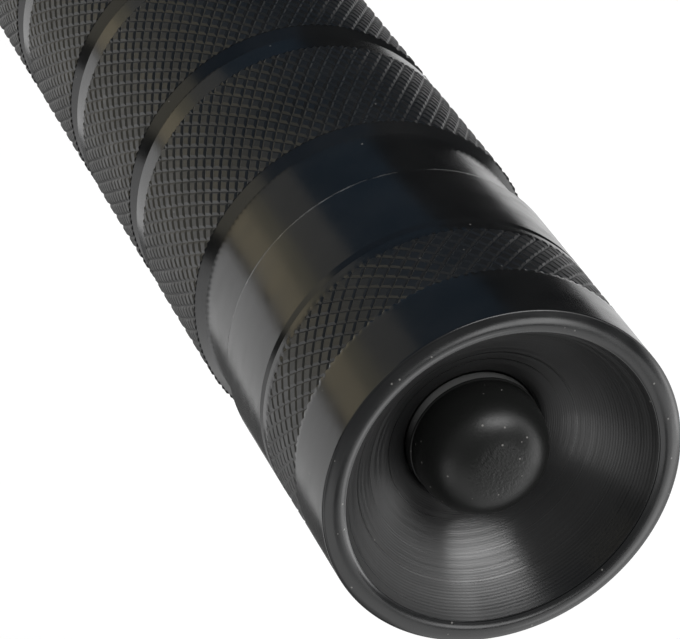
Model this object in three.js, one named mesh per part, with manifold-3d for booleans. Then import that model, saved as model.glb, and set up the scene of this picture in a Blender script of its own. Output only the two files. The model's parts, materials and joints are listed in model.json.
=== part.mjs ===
// A turned aluminium flashlight with a tail switch and a knurl-banded battery tube.
// Millimetres. It stands on its bezel: +Z runs along the axis from the bezel's front face to the tail rim.
import * as THREE from 'three';
import { mergeVertices } from 'three/addons/utils/BufferGeometryUtils.js';
import Module from 'manifold-3d';

const wasm = await Module();
wasm.setup();

// Facets and fits
const OUTER_SIDES = 32;
const INNER_SIDES = 20;
const FIT = 0.3; // gap between pieces that seat on each other or screw together
const SEAL_GAP = 0.15; // gap round an O-ring in its groove
const EDGE = 0.4; // break on a turned edge

// Cells
const CELL_NAMES = ['front_cell', 'rear_cell'];
const CELL_RADIUS = 13.1;
const CELL_LENGTH = 65.3;
const CELL_ROUND = 0.8;
const CELL_BUTTON_RADIUS = 4.5;
const CELL_BUTTON_HEIGHT = 1.2;
const CELL_PLAY = 0.4; // between a cell and the tube's bore

// Battery tube
const SPIGOT_WALL = 1.5; // over the bore, where the thread is
const FRONT_SPIGOT_LENGTH = 13.1;
const TAIL_SPIGOT_LENGTH = 9.8;
const NECK_STEP = 0.8; // neck above the spigot
const BAND_STEP = 0.8; // knurled band above the neck
const LAND_DEPTH = 0.15; // plain edge of a band below its knurl
const BAND_LENGTH = 16.48; // knurled stretch
const LAND_LENGTH = 2.62; // plain edge on the head's side of a band
const GROOVE_WIDTH = 2.35; // from a band's knurl to the next band's plain edge
const RAMP_LENGTH = 1.26; // from a band's knurl down to the groove or neck
const TAIL_NECK_LENGTH = 7.9;
const FRONT_NECK_MINIMUM = 6;
const O_RING_SECTION = 0.9;
const O_RING_GROOVE_WIDTH = 1.6;
const O_RING_FROM_SHOULDER = 1.2;

// Tail cap
const CAP_WALL = 1.1; // skirt round the tube's spigot
const CAP_LENGTH = 27.3;
const RIM_ROUND_WIDTH = 1.5; // rounded outer edge of the rim, across
const RIM_ROUND_HEIGHT = 0.8;
const LIP_WIDTH = 0.4; // flat on top of the rim
const DISH_DEPTH = 8;
const DISH_SAG = 0.9; // how far the dish's wall bows from a straight cone
const BUTTON_HOLE_RADIUS = 6.25;
const WEB = 2; // cap's end wall at the button hole
const CAP_GROOVE_FROM_RIM = 16.9;
const CAP_GROOVE_WIDTH = 0.7;
const CAP_GROOVE_DEPTH = 0.45;

// Button
const BUTTON_TRAVEL = 2;
const BOOT_WALL = 1.2;
const BOOT_GAP = 0.15; // round the boot in its hole
const BOOT_COLLAR_HEIGHT = 1; // collar above the dish floor
const BOOT_LEDGE = 0.1; // collar outside the dome
const BOOT_DOME_RISE = 1.3; // dome's centre above the dish floor
const BOOT_BELOW_RIM = 1.2;
const BOOT_FULLNESS = 0.85; // 1 is an elliptical dome, less has a flatter crown
const BOOT_FLANGE = 1.2;
const BOOT_FLANGE_MARGIN = 0.7; // flange inside the switch sleeve's edge
const WASHER = 0.7;
const STEM_RADIUS = 2.9;
const STEM_DEPTH = 1.2; // stem inside the switch at rest
const STEM_SHOULDER_GAP = 1; // left above the switch when the button is in

// Switch module
const SWITCH_WIDTH = 11;
const SWITCH_CORNER = 1;
const SWITCH_HEIGHT = 6.8;
const SWITCH_FLOOR = 1;
const SWITCH_POCKET = 1.1; // sleeve's bore outside the switch's corners
const SWITCH_BOARD = 1.2;
const SLEEVE_WALL = 1.3;
const SLEEVE_END_WALL = 1.5;
const SLEEVE_LIP = 0.5; // sleeve past the snap ring
const SNAP_RING_WIDTH = 1.4;
const SNAP_RING_THICKNESS = 0.8;

// Springs
const TAIL_SPRING = { wire: 1, length: 6.2, turns: 3.5, taper: 2.4, steps: 12, sides: 6 };
const DRIVER_SPRING = { wire: 0.8, length: 4.9, turns: 3, taper: 1.2, steps: 12, sides: 6 };
const RETURN_SPRING = { wire: 0.45, turns: 4, taper: 0, steps: 8, sides: 5 };
const DRIVER_SPRING_RADIUS = 4.2;
const RETURN_SPRING_RADIUS = 2.2;

// Bezel, lens and reflector
const LENS_RADIUS = 24.6;
const LENS_THICKNESS = 2.4;
const LENS_SEAL_WIDTH = 1.2;
const LENS_SEAL_THICKNESS = 1.2;
const BEZEL_LIP = 2; // lip's thickness in front of the lens seal
const BEZEL_LIP_WIDTH = 1.4; // lip over the lens edge
const BEZEL_BEVEL = 1.2;
const BEZEL_HEIGHT = 6;
const BEZEL_THREAD_LENGTH = 6.5;
const BEZEL_THREAD_WALL = 1.3;
const FOCAL_LENGTH = 2.9;
const REFLECTOR_RIM = 1.4; // flat rim outside the mirror's mouth
const REFLECTOR_FLANGE = 1.5;
const REFLECTOR_WALL = 1.6;
const REFLECTOR_HOLE_RADIUS = 5.4;
const REFLECTOR_BOSS = 0.8;
const REFLECTOR_BOSS_RADIUS = 9.5;
const MIRROR_STEPS = 9;

// Light engine
const LED_WIDTH = 5;
const LED_HEIGHT = 1.3;
const LED_DOME_RADIUS = 2.2;
const LED_GASKET_WALL = 1.2;
const LED_GASKET_BASE = 0.7;
const LED_GASKET_RADIUS = 6.8;
const LED_GASKET_COLLAR = 0.9; // collar's reach into the reflector's hole
const LED_BOARD_RADIUS = 9.8;
const LED_BOARD = 1.5;
const LEAD_DIAMETER = 0.7;
const LEAD_HOLE_RADIUS = 0.8;
const LEAD_CIRCLE_RADIUS = 11.3; // where the leads pass through the pill
const LEAD_PAD_RADIUS = 7.8; // where they end over the board
const PILL_LEDGE = 0.9; // pill outside the tube's socket
const PILL_WALL = 3;
const PILL_SHELF = 3;
const PILL_RECESS = 0.4; // pill past the retaining ring
const DRIVER_CAVITY = 3.6;
const DRIVER_BOARD = 1.6;
const INDUCTOR_RADIUS = 3.4;
const INDUCTOR_HEIGHT = 2.6;
const RETAINING_RING = 1.8;
const RETAINING_RING_WIDTH = 2;

// Head housing
const BELL_WALL = 1.5; // outside the bezel's thread
const BELL_LENGTH = 19.7;
const BELL_GROOVE_COUNT = 2;
const BELL_GROOVE_WIDTH = 1;
const BELL_GROOVE_DEPTH = 0.6;
const BELL_GROOVE_PITCH = 3;
const BELL_GROOVE_FROM_BEZEL = 3;
const HEAD_WALL = 1.9; // under the fins
const FIN_COUNT = 5;
const FIN_THICKNESS = 2;
const FIN_GAP = 2;
const FIN_HEIGHT = 2.2;
const COLLAR_LENGTH = 9.5;
const COLLAR_STEP = 1; // collar above the fins' root

// Radii that follow from the cells outwards
const boreRadius = CELL_RADIUS + CELL_PLAY;
const spigotRadius = boreRadius + SPIGOT_WALL;
const socketRadius = spigotRadius + FIT;
const neckRadius = spigotRadius + NECK_STEP;
const bandRadius = neckRadius + BAND_STEP;
const landRadius = bandRadius - LAND_DEPTH;
const capRadius = socketRadius + CAP_WALL;
const dishMouthRadius = capRadius - RIM_ROUND_WIDTH - LIP_WIDTH;
const sleeveBoreRadius = SWITCH_WIDTH * Math.SQRT1_2 + SWITCH_POCKET;
const sleeveRadius = sleeveBoreRadius + SLEEVE_WALL;
const bootCollarRadius = BUTTON_HOLE_RADIUS - BOOT_GAP;
const bootDomeRadius = bootCollarRadius - BOOT_LEDGE;
const bootBoreRadius = bootDomeRadius - BOOT_WALL;
const bootFlangeRadius = sleeveRadius - BOOT_FLANGE_MARGIN;
const plungerRadius = bootBoreRadius - FIT;
const plungerHoleRadius = bootBoreRadius + FIT;
const pillRadius = socketRadius + PILL_LEDGE;
const pillBoreRadius = pillRadius - PILL_WALL;
const pillSeatRadius = pillRadius + FIT;
const finRootRadius = pillSeatRadius + HEAD_WALL;
const finRadius = finRootRadius + FIN_HEIGHT;
const bezelBoreRadius = LENS_RADIUS + FIT;
const bezelThreadRadius = bezelBoreRadius + BEZEL_THREAD_WALL;
const headMouthRadius = bezelThreadRadius + FIT;
const bellRadius = headMouthRadius + BELL_WALL;
const mirrorMouthRadius = LENS_RADIUS - REFLECTOR_RIM;

// Levels that follow from the bezel's front face to the tail rim
const lensSealZ = BEZEL_LIP + FIT;
const lensZ = lensSealZ + LENS_SEAL_THICKNESS + FIT;
const reflectorZ = lensZ + LENS_THICKNESS + FIT;
const mirrorVertexZ = reflectorZ + mirrorMouthRadius ** 2 / (4 * FOCAL_LENGTH);
const reflectorHoleZ = mirrorVertexZ - REFLECTOR_HOLE_RADIUS ** 2 / (4 * FOCAL_LENGTH);
const reflectorBackZ = reflectorHoleZ + REFLECTOR_BOSS;
const ledGasketZ = reflectorBackZ + FIT;
const ledBoardZ = ledGasketZ + LED_GASKET_BASE + FIT;
const pillZ = ledBoardZ + LED_BOARD + FIT;
const driverBoardZ = pillZ + PILL_SHELF + DRIVER_CAVITY;
const retainingRingZ = driverBoardZ + DRIVER_BOARD + FIT;
const pillBackZ = retainingRingZ + RETAINING_RING + PILL_RECESS;
const tubeFrontZ = pillBackZ + FIT;
const headBackZ = tubeFrontZ + FRONT_SPIGOT_LENGTH;
const driverSpringZ = driverBoardZ + DRIVER_BOARD + FIT;
const cellZ = driverSpringZ + DRIVER_SPRING.length + FIT;
const tailSpringZ = cellZ + CELL_NAMES.length * (CELL_LENGTH + FIT);
const switchBoardZ = tailSpringZ + TAIL_SPRING.length + FIT;
const snapRingZ = switchBoardZ - FIT - SNAP_RING_THICKNESS;
const sleeveZ = snapRingZ - SLEEVE_LIP;
const switchZ = switchBoardZ + SWITCH_BOARD + FIT;
const switchTopZ = switchZ + SWITCH_HEIGHT;
const sleeveEndZ = switchTopZ + FIT;
const washerZ = sleeveEndZ + SLEEVE_END_WALL + FIT;
const bootZ = washerZ + WASHER + FIT;
const webZ = bootZ + BOOT_FLANGE + FIT;
const dishFloorZ = webZ + WEB;
const rimZ = dishFloorZ + DISH_DEPTH;
const capSeamZ = rimZ - CAP_LENGTH;
const tubeShoulderZ = capSeamZ - FIT;
const tubeEndZ = tubeShoulderZ + TAIL_SPIGOT_LENGTH;
const domeCentreZ = dishFloorZ + BOOT_DOME_RISE;
const domeHeight = DISH_DEPTH - BOOT_DOME_RISE - BOOT_BELOW_RIM;
const finsEndZ = headBackZ - COLLAR_LENGTH;
const finsZ = finsEndZ - FIN_COUNT * FIN_THICKNESS - (FIN_COUNT - 1) * FIN_GAP;

const flashlight = new THREE.Group();

// Finishes
const blackAnodised = { color: 0x16171a, roughness: 0.38, metalness: 0.85 };
const bareAluminium = { color: 0xb9bcc0, roughness: 0.35, metalness: 0.95 };
const mirror = { color: 0xe8eaec, roughness: 0.06, metalness: 1 };
const brass = { color: 0xb8924a, roughness: 0.35, metalness: 0.95 };
const springSteel = { color: 0xa8abb0, roughness: 0.3, metalness: 0.95 };
const blackRubber = { color: 0x111212, roughness: 0.75, metalness: 0 };
const blackPlastic = { color: 0x1a1b1d, roughness: 0.55, metalness: 0 };
const whitePlastic = { color: 0xe6e4dd, roughness: 0.5, metalness: 0 };
const greenBoard = { color: 0x1f4a31, roughness: 0.5, metalness: 0 };
const whiteBoard = { color: 0xd9dad6, roughness: 0.45, metalness: 0 };
const clearGlass = { color: 0xdfe9ea, roughness: 0.05, metalness: 0 };
const cellWrap = { color: 0x274a7a, roughness: 0.4, metalness: 0 };
const emitterYellow = { color: 0xd9b93a, roughness: 0.3, metalness: 0 };
const redWire = { color: 0x9c1f1c, roughness: 0.5, metalness: 0 };
const blackWire = { color: 0x1b1b1c, roughness: 0.5, metalness: 0 };

function addPiece(name, geometry, finish) {
  const piece = new THREE.Mesh(geometry, new THREE.MeshStandardMaterial(finish));
  piece.name = name;
  flashlight.add(piece);
}

// A profile of [radius, level] pairs, up the outside and down the inside, turned about the axis.
function revolve(profile, sides) {
  const points = profile.map(([radius, level]) => new THREE.Vector2(radius, level));
  return new THREE.LatheGeometry(points, sides).rotateX(Math.PI / 2);
}

function washerProfile(inner, outer, bottom, top) {
  return [[inner, bottom], [outer, bottom], [outer, top], [inner, top], [inner, bottom]];
}

function discProfile(radius, bottom, top) {
  return [[0, bottom], [radius, bottom], [radius, top], [0, top]];
}

// Quarter of an ellipse about (0, centre), from its equator up to the axis. A fullness below 1 swells it.
function domeProfile(radius, height, centre, steps, fullness = 1) {
  return Array.from({ length: steps + 1 }, (_, i) => {
    const angle = (i / steps) * Math.PI / 2;
    return [radius * Math.cos(angle) ** fullness, centre + height * Math.sin(angle) ** fullness];
  });
}

// Arc between two [radius, level] points that bows by sag to the left of the way it goes.
function bowedProfile(from, to, sag, steps) {
  const [run, rise] = [to[0] - from[0], to[1] - from[1]];
  const chord = Math.hypot(run, rise);
  return Array.from({ length: steps + 1 }, (_, i) => {
    const share = i / steps;
    const bow = (4 * sag * share * (1 - share)) / chord;
    return [from[0] + run * share - rise * bow, from[1] + rise * share + run * bow];
  });
}

function asSolid(geometry) {
  const bare = geometry.clone().deleteAttribute('normal').deleteAttribute('uv');
  const merged = mergeVertices(bare, 1e-3);
  return new wasm.Manifold(new wasm.Mesh({
    numProp: 3,
    vertProperties: merged.attributes.position.array,
    triVerts: new Uint32Array(merged.index.array),
  }));
}

function asGeometry(solid) {
  const mesh = solid.getMesh();
  const geometry = new THREE.BufferGeometry();
  geometry.setAttribute('position', new THREE.BufferAttribute(mesh.vertProperties, 3));
  geometry.setIndex(new THREE.BufferAttribute(mesh.triVerts, 1));
  return geometry;
}

// A square block with rounded corners, centred on the axis.
function roundedBlock(width, corner, bottom, top) {
  const half = width / 2;
  const straight = half - corner;
  const outline = new THREE.Shape();
  outline.moveTo(half, -straight);
  outline.lineTo(half, straight);
  outline.absarc(straight, straight, corner, 0, Math.PI / 2);
  outline.absarc(-straight, straight, corner, Math.PI / 2, Math.PI);
  outline.absarc(-straight, -straight, corner, Math.PI, 1.5 * Math.PI);
  outline.absarc(straight, -straight, corner, 1.5 * Math.PI, 2 * Math.PI);
  const block = new THREE.ExtrudeGeometry(outline, { depth: top - bottom, bevelEnabled: false, curveSegments: 3 });
  return block.translate(0, 0, bottom);
}

// A round wire swept along a curve.
function sweptWire(path, diameter, sides, steps) {
  const corners = Array.from({ length: sides }, (_, i) => {
    const angle = (i / sides) * 2 * Math.PI;
    return new THREE.Vector2(Math.cos(angle), Math.sin(angle)).multiplyScalar(diameter / 2);
  });
  return new THREE.ExtrudeGeometry(new THREE.Shape(corners), { extrudePath: path, steps, bevelEnabled: false });
}

// Centre line of a coil spring that narrows from its base to its tip.
class CoilPath extends THREE.Curve {
  constructor(baseRadius, taper, turns, baseZ, tipZ) {
    super();
    Object.assign(this, { baseRadius, taper, turns, baseZ, tipZ });
  }

  getPoint(share, target = new THREE.Vector3()) {
    const angle = 2 * Math.PI * this.turns * share;
    const radius = this.baseRadius - this.taper * share;
    const level = THREE.MathUtils.lerp(this.baseZ, this.tipZ, share);
    return target.set(radius * Math.cos(angle), radius * Math.sin(angle), level);
  }
}

// Least gap between the wire of one turn and the next, measured on points of the centre line.
function leastCoilGap(path, wire) {
  const perTurn = 48;
  const points = path.getPoints(Math.round(perTurn * path.turns));
  let least = Infinity;
  points.forEach((point, i) => {
    for (let j = i + perTurn / 2; j < points.length; j += 1) {
      least = Math.min(least, point.distanceTo(points[j]) - wire);
    }
  });
  return least;
}

// A coil spring whose wire fills the levels from its base to its tip.
function addSpring(name, spring, baseRadius, baseZ, tipZ) {
  const inward = Math.sign(tipZ - baseZ) * spring.wire / 2;
  const path = new CoilPath(baseRadius, spring.taper, spring.turns, baseZ + inward, tipZ - inward);
  console.log(`${name}: least gap between turns ${leastCoilGap(path, spring.wire).toFixed(2)} mm`);
  const steps = Math.round(spring.steps * spring.turns);
  addPiece(name, sweptWire(path, spring.wire, spring.sides, steps), springSteel);
}

// Ring of round section that fills an O-ring groove up to its gaps.
function oRing(centreZ) {
  const radius = O_RING_SECTION / 2;
  const ringRadius = socketRadius - SEAL_GAP - radius;
  const sectionSides = 6;
  const profile = Array.from({ length: sectionSides + 1 }, (_, i) => {
    const angle = ((i % sectionSides) / sectionSides) * 2 * Math.PI;
    return [ringRadius + radius * Math.cos(angle), centreZ + radius * Math.sin(angle)];
  });
  return revolve(profile, OUTER_SIDES);
}

// Head: bezel, lens seal, lens, reflector and finned housing

function bezelRing() {
  const lipRadius = LENS_RADIUS - BEZEL_LIP_WIDTH;
  const threadEndZ = BEZEL_HEIGHT + BEZEL_THREAD_LENGTH;
  return revolve([
    [lipRadius, BEZEL_BEVEL],
    [lipRadius + BEZEL_BEVEL, 0],
    [bellRadius - BEZEL_BEVEL, 0],
    [bellRadius, BEZEL_BEVEL],
    [bellRadius, BEZEL_HEIGHT],
    [bezelThreadRadius, BEZEL_HEIGHT],
    [bezelThreadRadius, threadEndZ],
    [bezelBoreRadius, threadEndZ],
    [bezelBoreRadius, BEZEL_LIP],
    [lipRadius, BEZEL_LIP],
    [lipRadius, BEZEL_BEVEL],
  ], OUTER_SIDES);
}

function frontLens() {
  const backZ = lensZ + LENS_THICKNESS;
  return revolve([
    [0, lensZ],
    [LENS_RADIUS - EDGE, lensZ],
    [LENS_RADIUS, lensZ + EDGE],
    [LENS_RADIUS, backZ - EDGE],
    [LENS_RADIUS - EDGE, backZ],
    [0, backZ],
  ], OUTER_SIDES);
}

// Level of the mirror's paraboloid at a radius.
function mirrorLevel(radius) {
  return mirrorVertexZ - radius ** 2 / (4 * FOCAL_LENGTH);
}

function reflector() {
  const flangeBackZ = reflectorZ + REFLECTOR_FLANGE;
  const backRadius = REFLECTOR_HOLE_RADIUS + REFLECTOR_WALL;
  const mirrorRun = mirrorMouthRadius - REFLECTOR_HOLE_RADIUS;
  const mirrorFace = Array.from({ length: MIRROR_STEPS + 1 }, (_, i) => {
    const radius = REFLECTOR_HOLE_RADIUS + mirrorRun * (i / MIRROR_STEPS);
    return [radius, mirrorLevel(radius)];
  });
  const back = mirrorFace
    .map(([radius, level]) => [radius + REFLECTOR_WALL, level])
    .filter(([radius, level]) => level > flangeBackZ && radius > Math.max(backRadius, REFLECTOR_BOSS_RADIUS))
    .reverse();
  const bossFrontZ = mirrorLevel(REFLECTOR_BOSS_RADIUS - REFLECTOR_WALL);
  return revolve([
    [mirrorMouthRadius, reflectorZ],
    [LENS_RADIUS, reflectorZ],
    [LENS_RADIUS, flangeBackZ],
    ...back,
    [REFLECTOR_BOSS_RADIUS, bossFrontZ],
    [REFLECTOR_BOSS_RADIUS, reflectorBackZ],
    [REFLECTOR_HOLE_RADIUS, reflectorBackZ],
    ...mirrorFace,
  ], OUTER_SIDES);
}

function headHousing() {
  const bellFrontZ = BEZEL_HEIGHT + FIT;
  const bellBackZ = bellFrontZ + BELL_LENGTH;
  const mouthEndZ = BEZEL_HEIGHT + BEZEL_THREAD_LENGTH + FIT;
  const coneEndZ = finsZ - FIN_GAP;
  const grooveRoot = bellRadius - BELL_GROOVE_DEPTH;
  const grooves = Array.from({ length: BELL_GROOVE_COUNT }, (_, i) => {
    const level = bellFrontZ + BELL_GROOVE_FROM_BEZEL + i * BELL_GROOVE_PITCH;
    const end = level + BELL_GROOVE_WIDTH;
    return [[bellRadius, level], [grooveRoot, level], [grooveRoot, end], [bellRadius, end]];
  }).flat();
  const fins = Array.from({ length: FIN_COUNT }, (_, i) => {
    const level = finsZ + i * (FIN_THICKNESS + FIN_GAP);
    const end = level + FIN_THICKNESS;
    return [[finRootRadius, level], [finRadius, level], [finRadius, end], [finRootRadius, end]];
  }).flat();
  const collarRadius = finRootRadius + COLLAR_STEP;
  return revolve([
    [headMouthRadius, bellFrontZ],
    [bellRadius, bellFrontZ],
    ...grooves,
    [bellRadius, bellBackZ],
    [finRadius, coneEndZ],
    [finRootRadius, coneEndZ],
    ...fins,
    [finRootRadius, finsEndZ + FIN_GAP],
    [collarRadius, finsEndZ + FIN_GAP],
    [collarRadius, headBackZ - COLLAR_STEP],
    [collarRadius - COLLAR_STEP, headBackZ],
    [socketRadius, headBackZ],
    [socketRadius, tubeFrontZ],
    [pillSeatRadius, tubeFrontZ],
    [pillSeatRadius, coneEndZ],
    [bezelBoreRadius, bellBackZ],
    [bezelBoreRadius, mouthEndZ],
    [headMouthRadius, mouthEndZ],
    [headMouthRadius, bellFrontZ],
  ], OUTER_SIDES);
}

// Light engine

function ledEmitter() {
  const baseBackZ = ledBoardZ - FIT;
  const baseFrontZ = baseBackZ - LED_HEIGHT;
  const base = asSolid(roundedBlock(LED_WIDTH, EDGE, baseFrontZ, baseBackZ));
  const dome = revolve([
    [0, baseFrontZ - LED_DOME_RADIUS],
    ...domeProfile(LED_DOME_RADIUS, -LED_DOME_RADIUS, baseFrontZ, 4).reverse().slice(1),
    [LED_DOME_RADIUS, baseFrontZ + EDGE],
    [0, baseFrontZ + EDGE],
  ], INNER_SIDES);
  return asGeometry(base.add(asSolid(dome)));
}

function ledGasket() {
  const inner = LED_WIDTH * Math.SQRT1_2 + FIT;
  const collarRadius = Math.min(inner + LED_GASKET_WALL, REFLECTOR_HOLE_RADIUS - FIT);
  const collarZ = ledGasketZ - LED_GASKET_COLLAR;
  const backZ = ledGasketZ + LED_GASKET_BASE;
  return revolve([
    [inner, collarZ],
    [collarRadius, collarZ],
    [collarRadius, ledGasketZ],
    [LED_GASKET_RADIUS, ledGasketZ],
    [LED_GASKET_RADIUS, backZ],
    [inner, backZ],
    [inner, collarZ],
  ], INNER_SIDES);
}

function heatSinkPill() {
  const shelfBackZ = pillZ + PILL_SHELF;
  const cup = asSolid(revolve([
    [0, pillZ],
    [pillRadius - EDGE, pillZ],
    [pillRadius, pillZ + EDGE],
    [pillRadius, pillBackZ],
    [pillBoreRadius, pillBackZ],
    [pillBoreRadius, shelfBackZ],
    [0, shelfBackZ],
  ], OUTER_SIDES));
  const holes = [1, -1].map((side) => {
    const drill = revolve(discProfile(LEAD_HOLE_RADIUS, pillZ - FIT, shelfBackZ + FIT), INNER_SIDES / 2);
    return asSolid(drill.translate(side * LEAD_CIRCLE_RADIUS, 0, 0));
  });
  return asGeometry(holes.reduce((solid, hole) => solid.subtract(hole), cup));
}

// Driver board with the round inductor that stands on its front face.
function driverBoard() {
  const backZ = driverBoardZ + DRIVER_BOARD;
  const inductorZ = driverBoardZ - INDUCTOR_HEIGHT;
  return revolve([
    [0, inductorZ],
    [INDUCTOR_RADIUS - EDGE, inductorZ],
    [INDUCTOR_RADIUS, inductorZ + EDGE],
    [INDUCTOR_RADIUS, driverBoardZ],
    [pillBoreRadius - FIT, driverBoardZ],
    [pillBoreRadius - FIT, backZ],
    [0, backZ],
  ], INNER_SIDES);
}

// A lead that rises from the driver board through the pill and turns in over the LED board.
function ledLead(side) {
  const runZ = (reflectorBackZ + ledBoardZ) / 2;
  const bend = LEAD_DIAMETER * 1.5;
  const corner = new THREE.Vector3(side * LEAD_CIRCLE_RADIUS, 0, runZ);
  const riseEnd = corner.clone().setZ(runZ + bend);
  const runStart = corner.clone().setX(side * (LEAD_CIRCLE_RADIUS - bend));
  const path = new THREE.CurvePath();
  path.add(new THREE.LineCurve3(corner.clone().setZ(driverBoardZ - FIT), riseEnd));
  path.add(new THREE.QuadraticBezierCurve3(riseEnd, corner, runStart));
  path.add(new THREE.LineCurve3(runStart, corner.clone().setX(side * LEAD_PAD_RADIUS)));
  return sweptWire(path, LEAD_DIAMETER, 6, 18);
}

// Cells and tube

function cell(frontZ) {
  const capZ = frontZ + CELL_BUTTON_HEIGHT;
  const backZ = frontZ + CELL_LENGTH;
  const flatRadius = CELL_RADIUS - CELL_ROUND;
  return revolve([
    [0, frontZ],
    [CELL_BUTTON_RADIUS, frontZ],
    [CELL_BUTTON_RADIUS, capZ],
    [flatRadius, capZ],
    [CELL_RADIUS, capZ + CELL_ROUND],
    [CELL_RADIUS, backZ - CELL_ROUND],
    [flatRadius, backZ],
    [0, backZ],
  ], INNER_SIDES);
}

// Groove for an O-ring in a spigot, from its lower to its upper level.
function grooveProfile(centreZ) {
  const root = socketRadius - 2 * SEAL_GAP - O_RING_SECTION;
  const [low, high] = [centreZ - O_RING_GROOVE_WIDTH / 2, centreZ + O_RING_GROOVE_WIDTH / 2];
  return [[spigotRadius, low], [root, low], [root, high], [spigotRadius, high]];
}

const grooveInset = O_RING_FROM_SHOULDER + O_RING_GROOVE_WIDTH / 2;
const headGrooveZ = headBackZ - grooveInset;
const tailGrooveZ = tubeShoulderZ + grooveInset;

// Bands from the head's end to the tail. Each has a square shoulder and a plain edge towards the head,
// a knurled stretch, and a ramp towards the tail.
function bandProfile() {
  const bandLength = LAND_LENGTH + BAND_LENGTH;
  const period = bandLength + GROOVE_WIDTH;
  const lastTopZ = capSeamZ - TAIL_NECK_LENGTH - RAMP_LENGTH;
  const room = lastTopZ - headBackZ - FIT - FRONT_NECK_MINIMUM;
  const count = Math.floor((room - bandLength) / period) + 1;
  return Array.from({ length: count }, (_, i) => {
    const topZ = lastTopZ - (count - 1 - i) * period;
    const knurlZ = topZ - BAND_LENGTH;
    const shoulderZ = knurlZ - LAND_LENGTH;
    return [
      [neckRadius, shoulderZ],
      [landRadius, shoulderZ],
      [landRadius, knurlZ],
      [bandRadius, knurlZ],
      [bandRadius, topZ],
      [neckRadius, topZ + RAMP_LENGTH],
    ];
  }).flat();
}

function batteryTube() {
  return revolve([
    [boreRadius, tubeFrontZ],
    [spigotRadius - EDGE, tubeFrontZ],
    [spigotRadius, tubeFrontZ + EDGE],
    ...grooveProfile(headGrooveZ),
    [spigotRadius, headBackZ + FIT],
    [neckRadius, headBackZ + FIT],
    ...bandProfile(),
    [neckRadius, tubeShoulderZ],
    [spigotRadius, tubeShoulderZ],
    ...grooveProfile(tailGrooveZ),
    [spigotRadius, tubeEndZ - EDGE],
    [spigotRadius - EDGE, tubeEndZ],
    [boreRadius, tubeEndZ],
    [boreRadius, tubeFrontZ],
  ], OUTER_SIDES);
}

// Tail cap and switch module

function tailCap() {
  const grooveTopZ = rimZ - CAP_GROOVE_FROM_RIM;
  const grooveRoot = capRadius - CAP_GROOVE_DEPTH;
  const stepZ = tubeEndZ + FIT;
  const rimRound = domeProfile(RIM_ROUND_WIDTH, RIM_ROUND_HEIGHT, rimZ - RIM_ROUND_HEIGHT, 4)
    .map(([run, level]) => [capRadius - RIM_ROUND_WIDTH + run, level]);
  const dish = bowedProfile([dishMouthRadius, rimZ], [BUTTON_HOLE_RADIUS, dishFloorZ], DISH_SAG, 6);
  return revolve([
    [socketRadius, capSeamZ],
    [capRadius - EDGE, capSeamZ],
    [capRadius, capSeamZ + EDGE],
    [capRadius, grooveTopZ - CAP_GROOVE_WIDTH],
    [grooveRoot, grooveTopZ - CAP_GROOVE_WIDTH],
    [grooveRoot, grooveTopZ],
    [capRadius, grooveTopZ],
    ...rimRound,
    ...dish,
    [BUTTON_HOLE_RADIUS, webZ],
    [sleeveRadius + FIT, webZ],
    [sleeveRadius + FIT, stepZ],
    [socketRadius, stepZ],
    [socketRadius, capSeamZ],
  ], OUTER_SIDES);
}

function rubberBoot() {
  const flangeTopZ = bootZ + BOOT_FLANGE;
  const collarTopZ = dishFloorZ + BOOT_COLLAR_HEIGHT;
  const outside = domeProfile(bootDomeRadius, domeHeight, domeCentreZ, 7, BOOT_FULLNESS);
  const inside = domeProfile(bootBoreRadius, domeHeight - BOOT_WALL, domeCentreZ, 6, BOOT_FULLNESS).reverse();
  return revolve([
    [0, domeCentreZ + domeHeight - BOOT_WALL],
    ...inside.slice(1),
    [bootBoreRadius, bootZ],
    [bootFlangeRadius, bootZ],
    [bootFlangeRadius, flangeTopZ],
    [bootCollarRadius, flangeTopZ],
    [bootCollarRadius, collarTopZ],
    [bootDomeRadius, collarTopZ],
    ...outside.slice(0, -1),
    [0, domeCentreZ + domeHeight],
  ], INNER_SIDES);
}

// Domed plunger under the boot, with the stem that enters the switch.
function switchPlunger() {
  const shoulderZ = switchTopZ + BUTTON_TRAVEL + STEM_SHOULDER_GAP;
  const stemEndZ = switchTopZ - STEM_DEPTH;
  const height = domeHeight - BOOT_WALL - FIT;
  return revolve([
    [0, stemEndZ],
    [STEM_RADIUS, stemEndZ],
    [STEM_RADIUS, shoulderZ],
    [plungerRadius, shoulderZ],
    ...domeProfile(plungerRadius, height, domeCentreZ, 5, BOOT_FULLNESS).slice(0, -1),
    [0, domeCentreZ + height],
  ], INNER_SIDES);
}

function switchBody() {
  const block = asSolid(roundedBlock(SWITCH_WIDTH, SWITCH_CORNER, switchZ, switchTopZ));
  const well = revolve(discProfile(STEM_RADIUS + FIT, switchZ + SWITCH_FLOOR, switchTopZ + FIT), INNER_SIDES);
  return asGeometry(block.subtract(asSolid(well)));
}

function switchSleeve() {
  const topZ = sleeveEndZ + SLEEVE_END_WALL;
  return revolve([
    [sleeveBoreRadius, sleeveZ],
    [sleeveRadius - EDGE, sleeveZ],
    [sleeveRadius, sleeveZ + EDGE],
    [sleeveRadius, topZ],
    [plungerHoleRadius, topZ],
    [plungerHoleRadius, sleeveEndZ],
    [sleeveBoreRadius, sleeveEndZ],
    [sleeveBoreRadius, sleeveZ],
  ], INNER_SIDES);
}

// Assembly from the bezel to the tail

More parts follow.
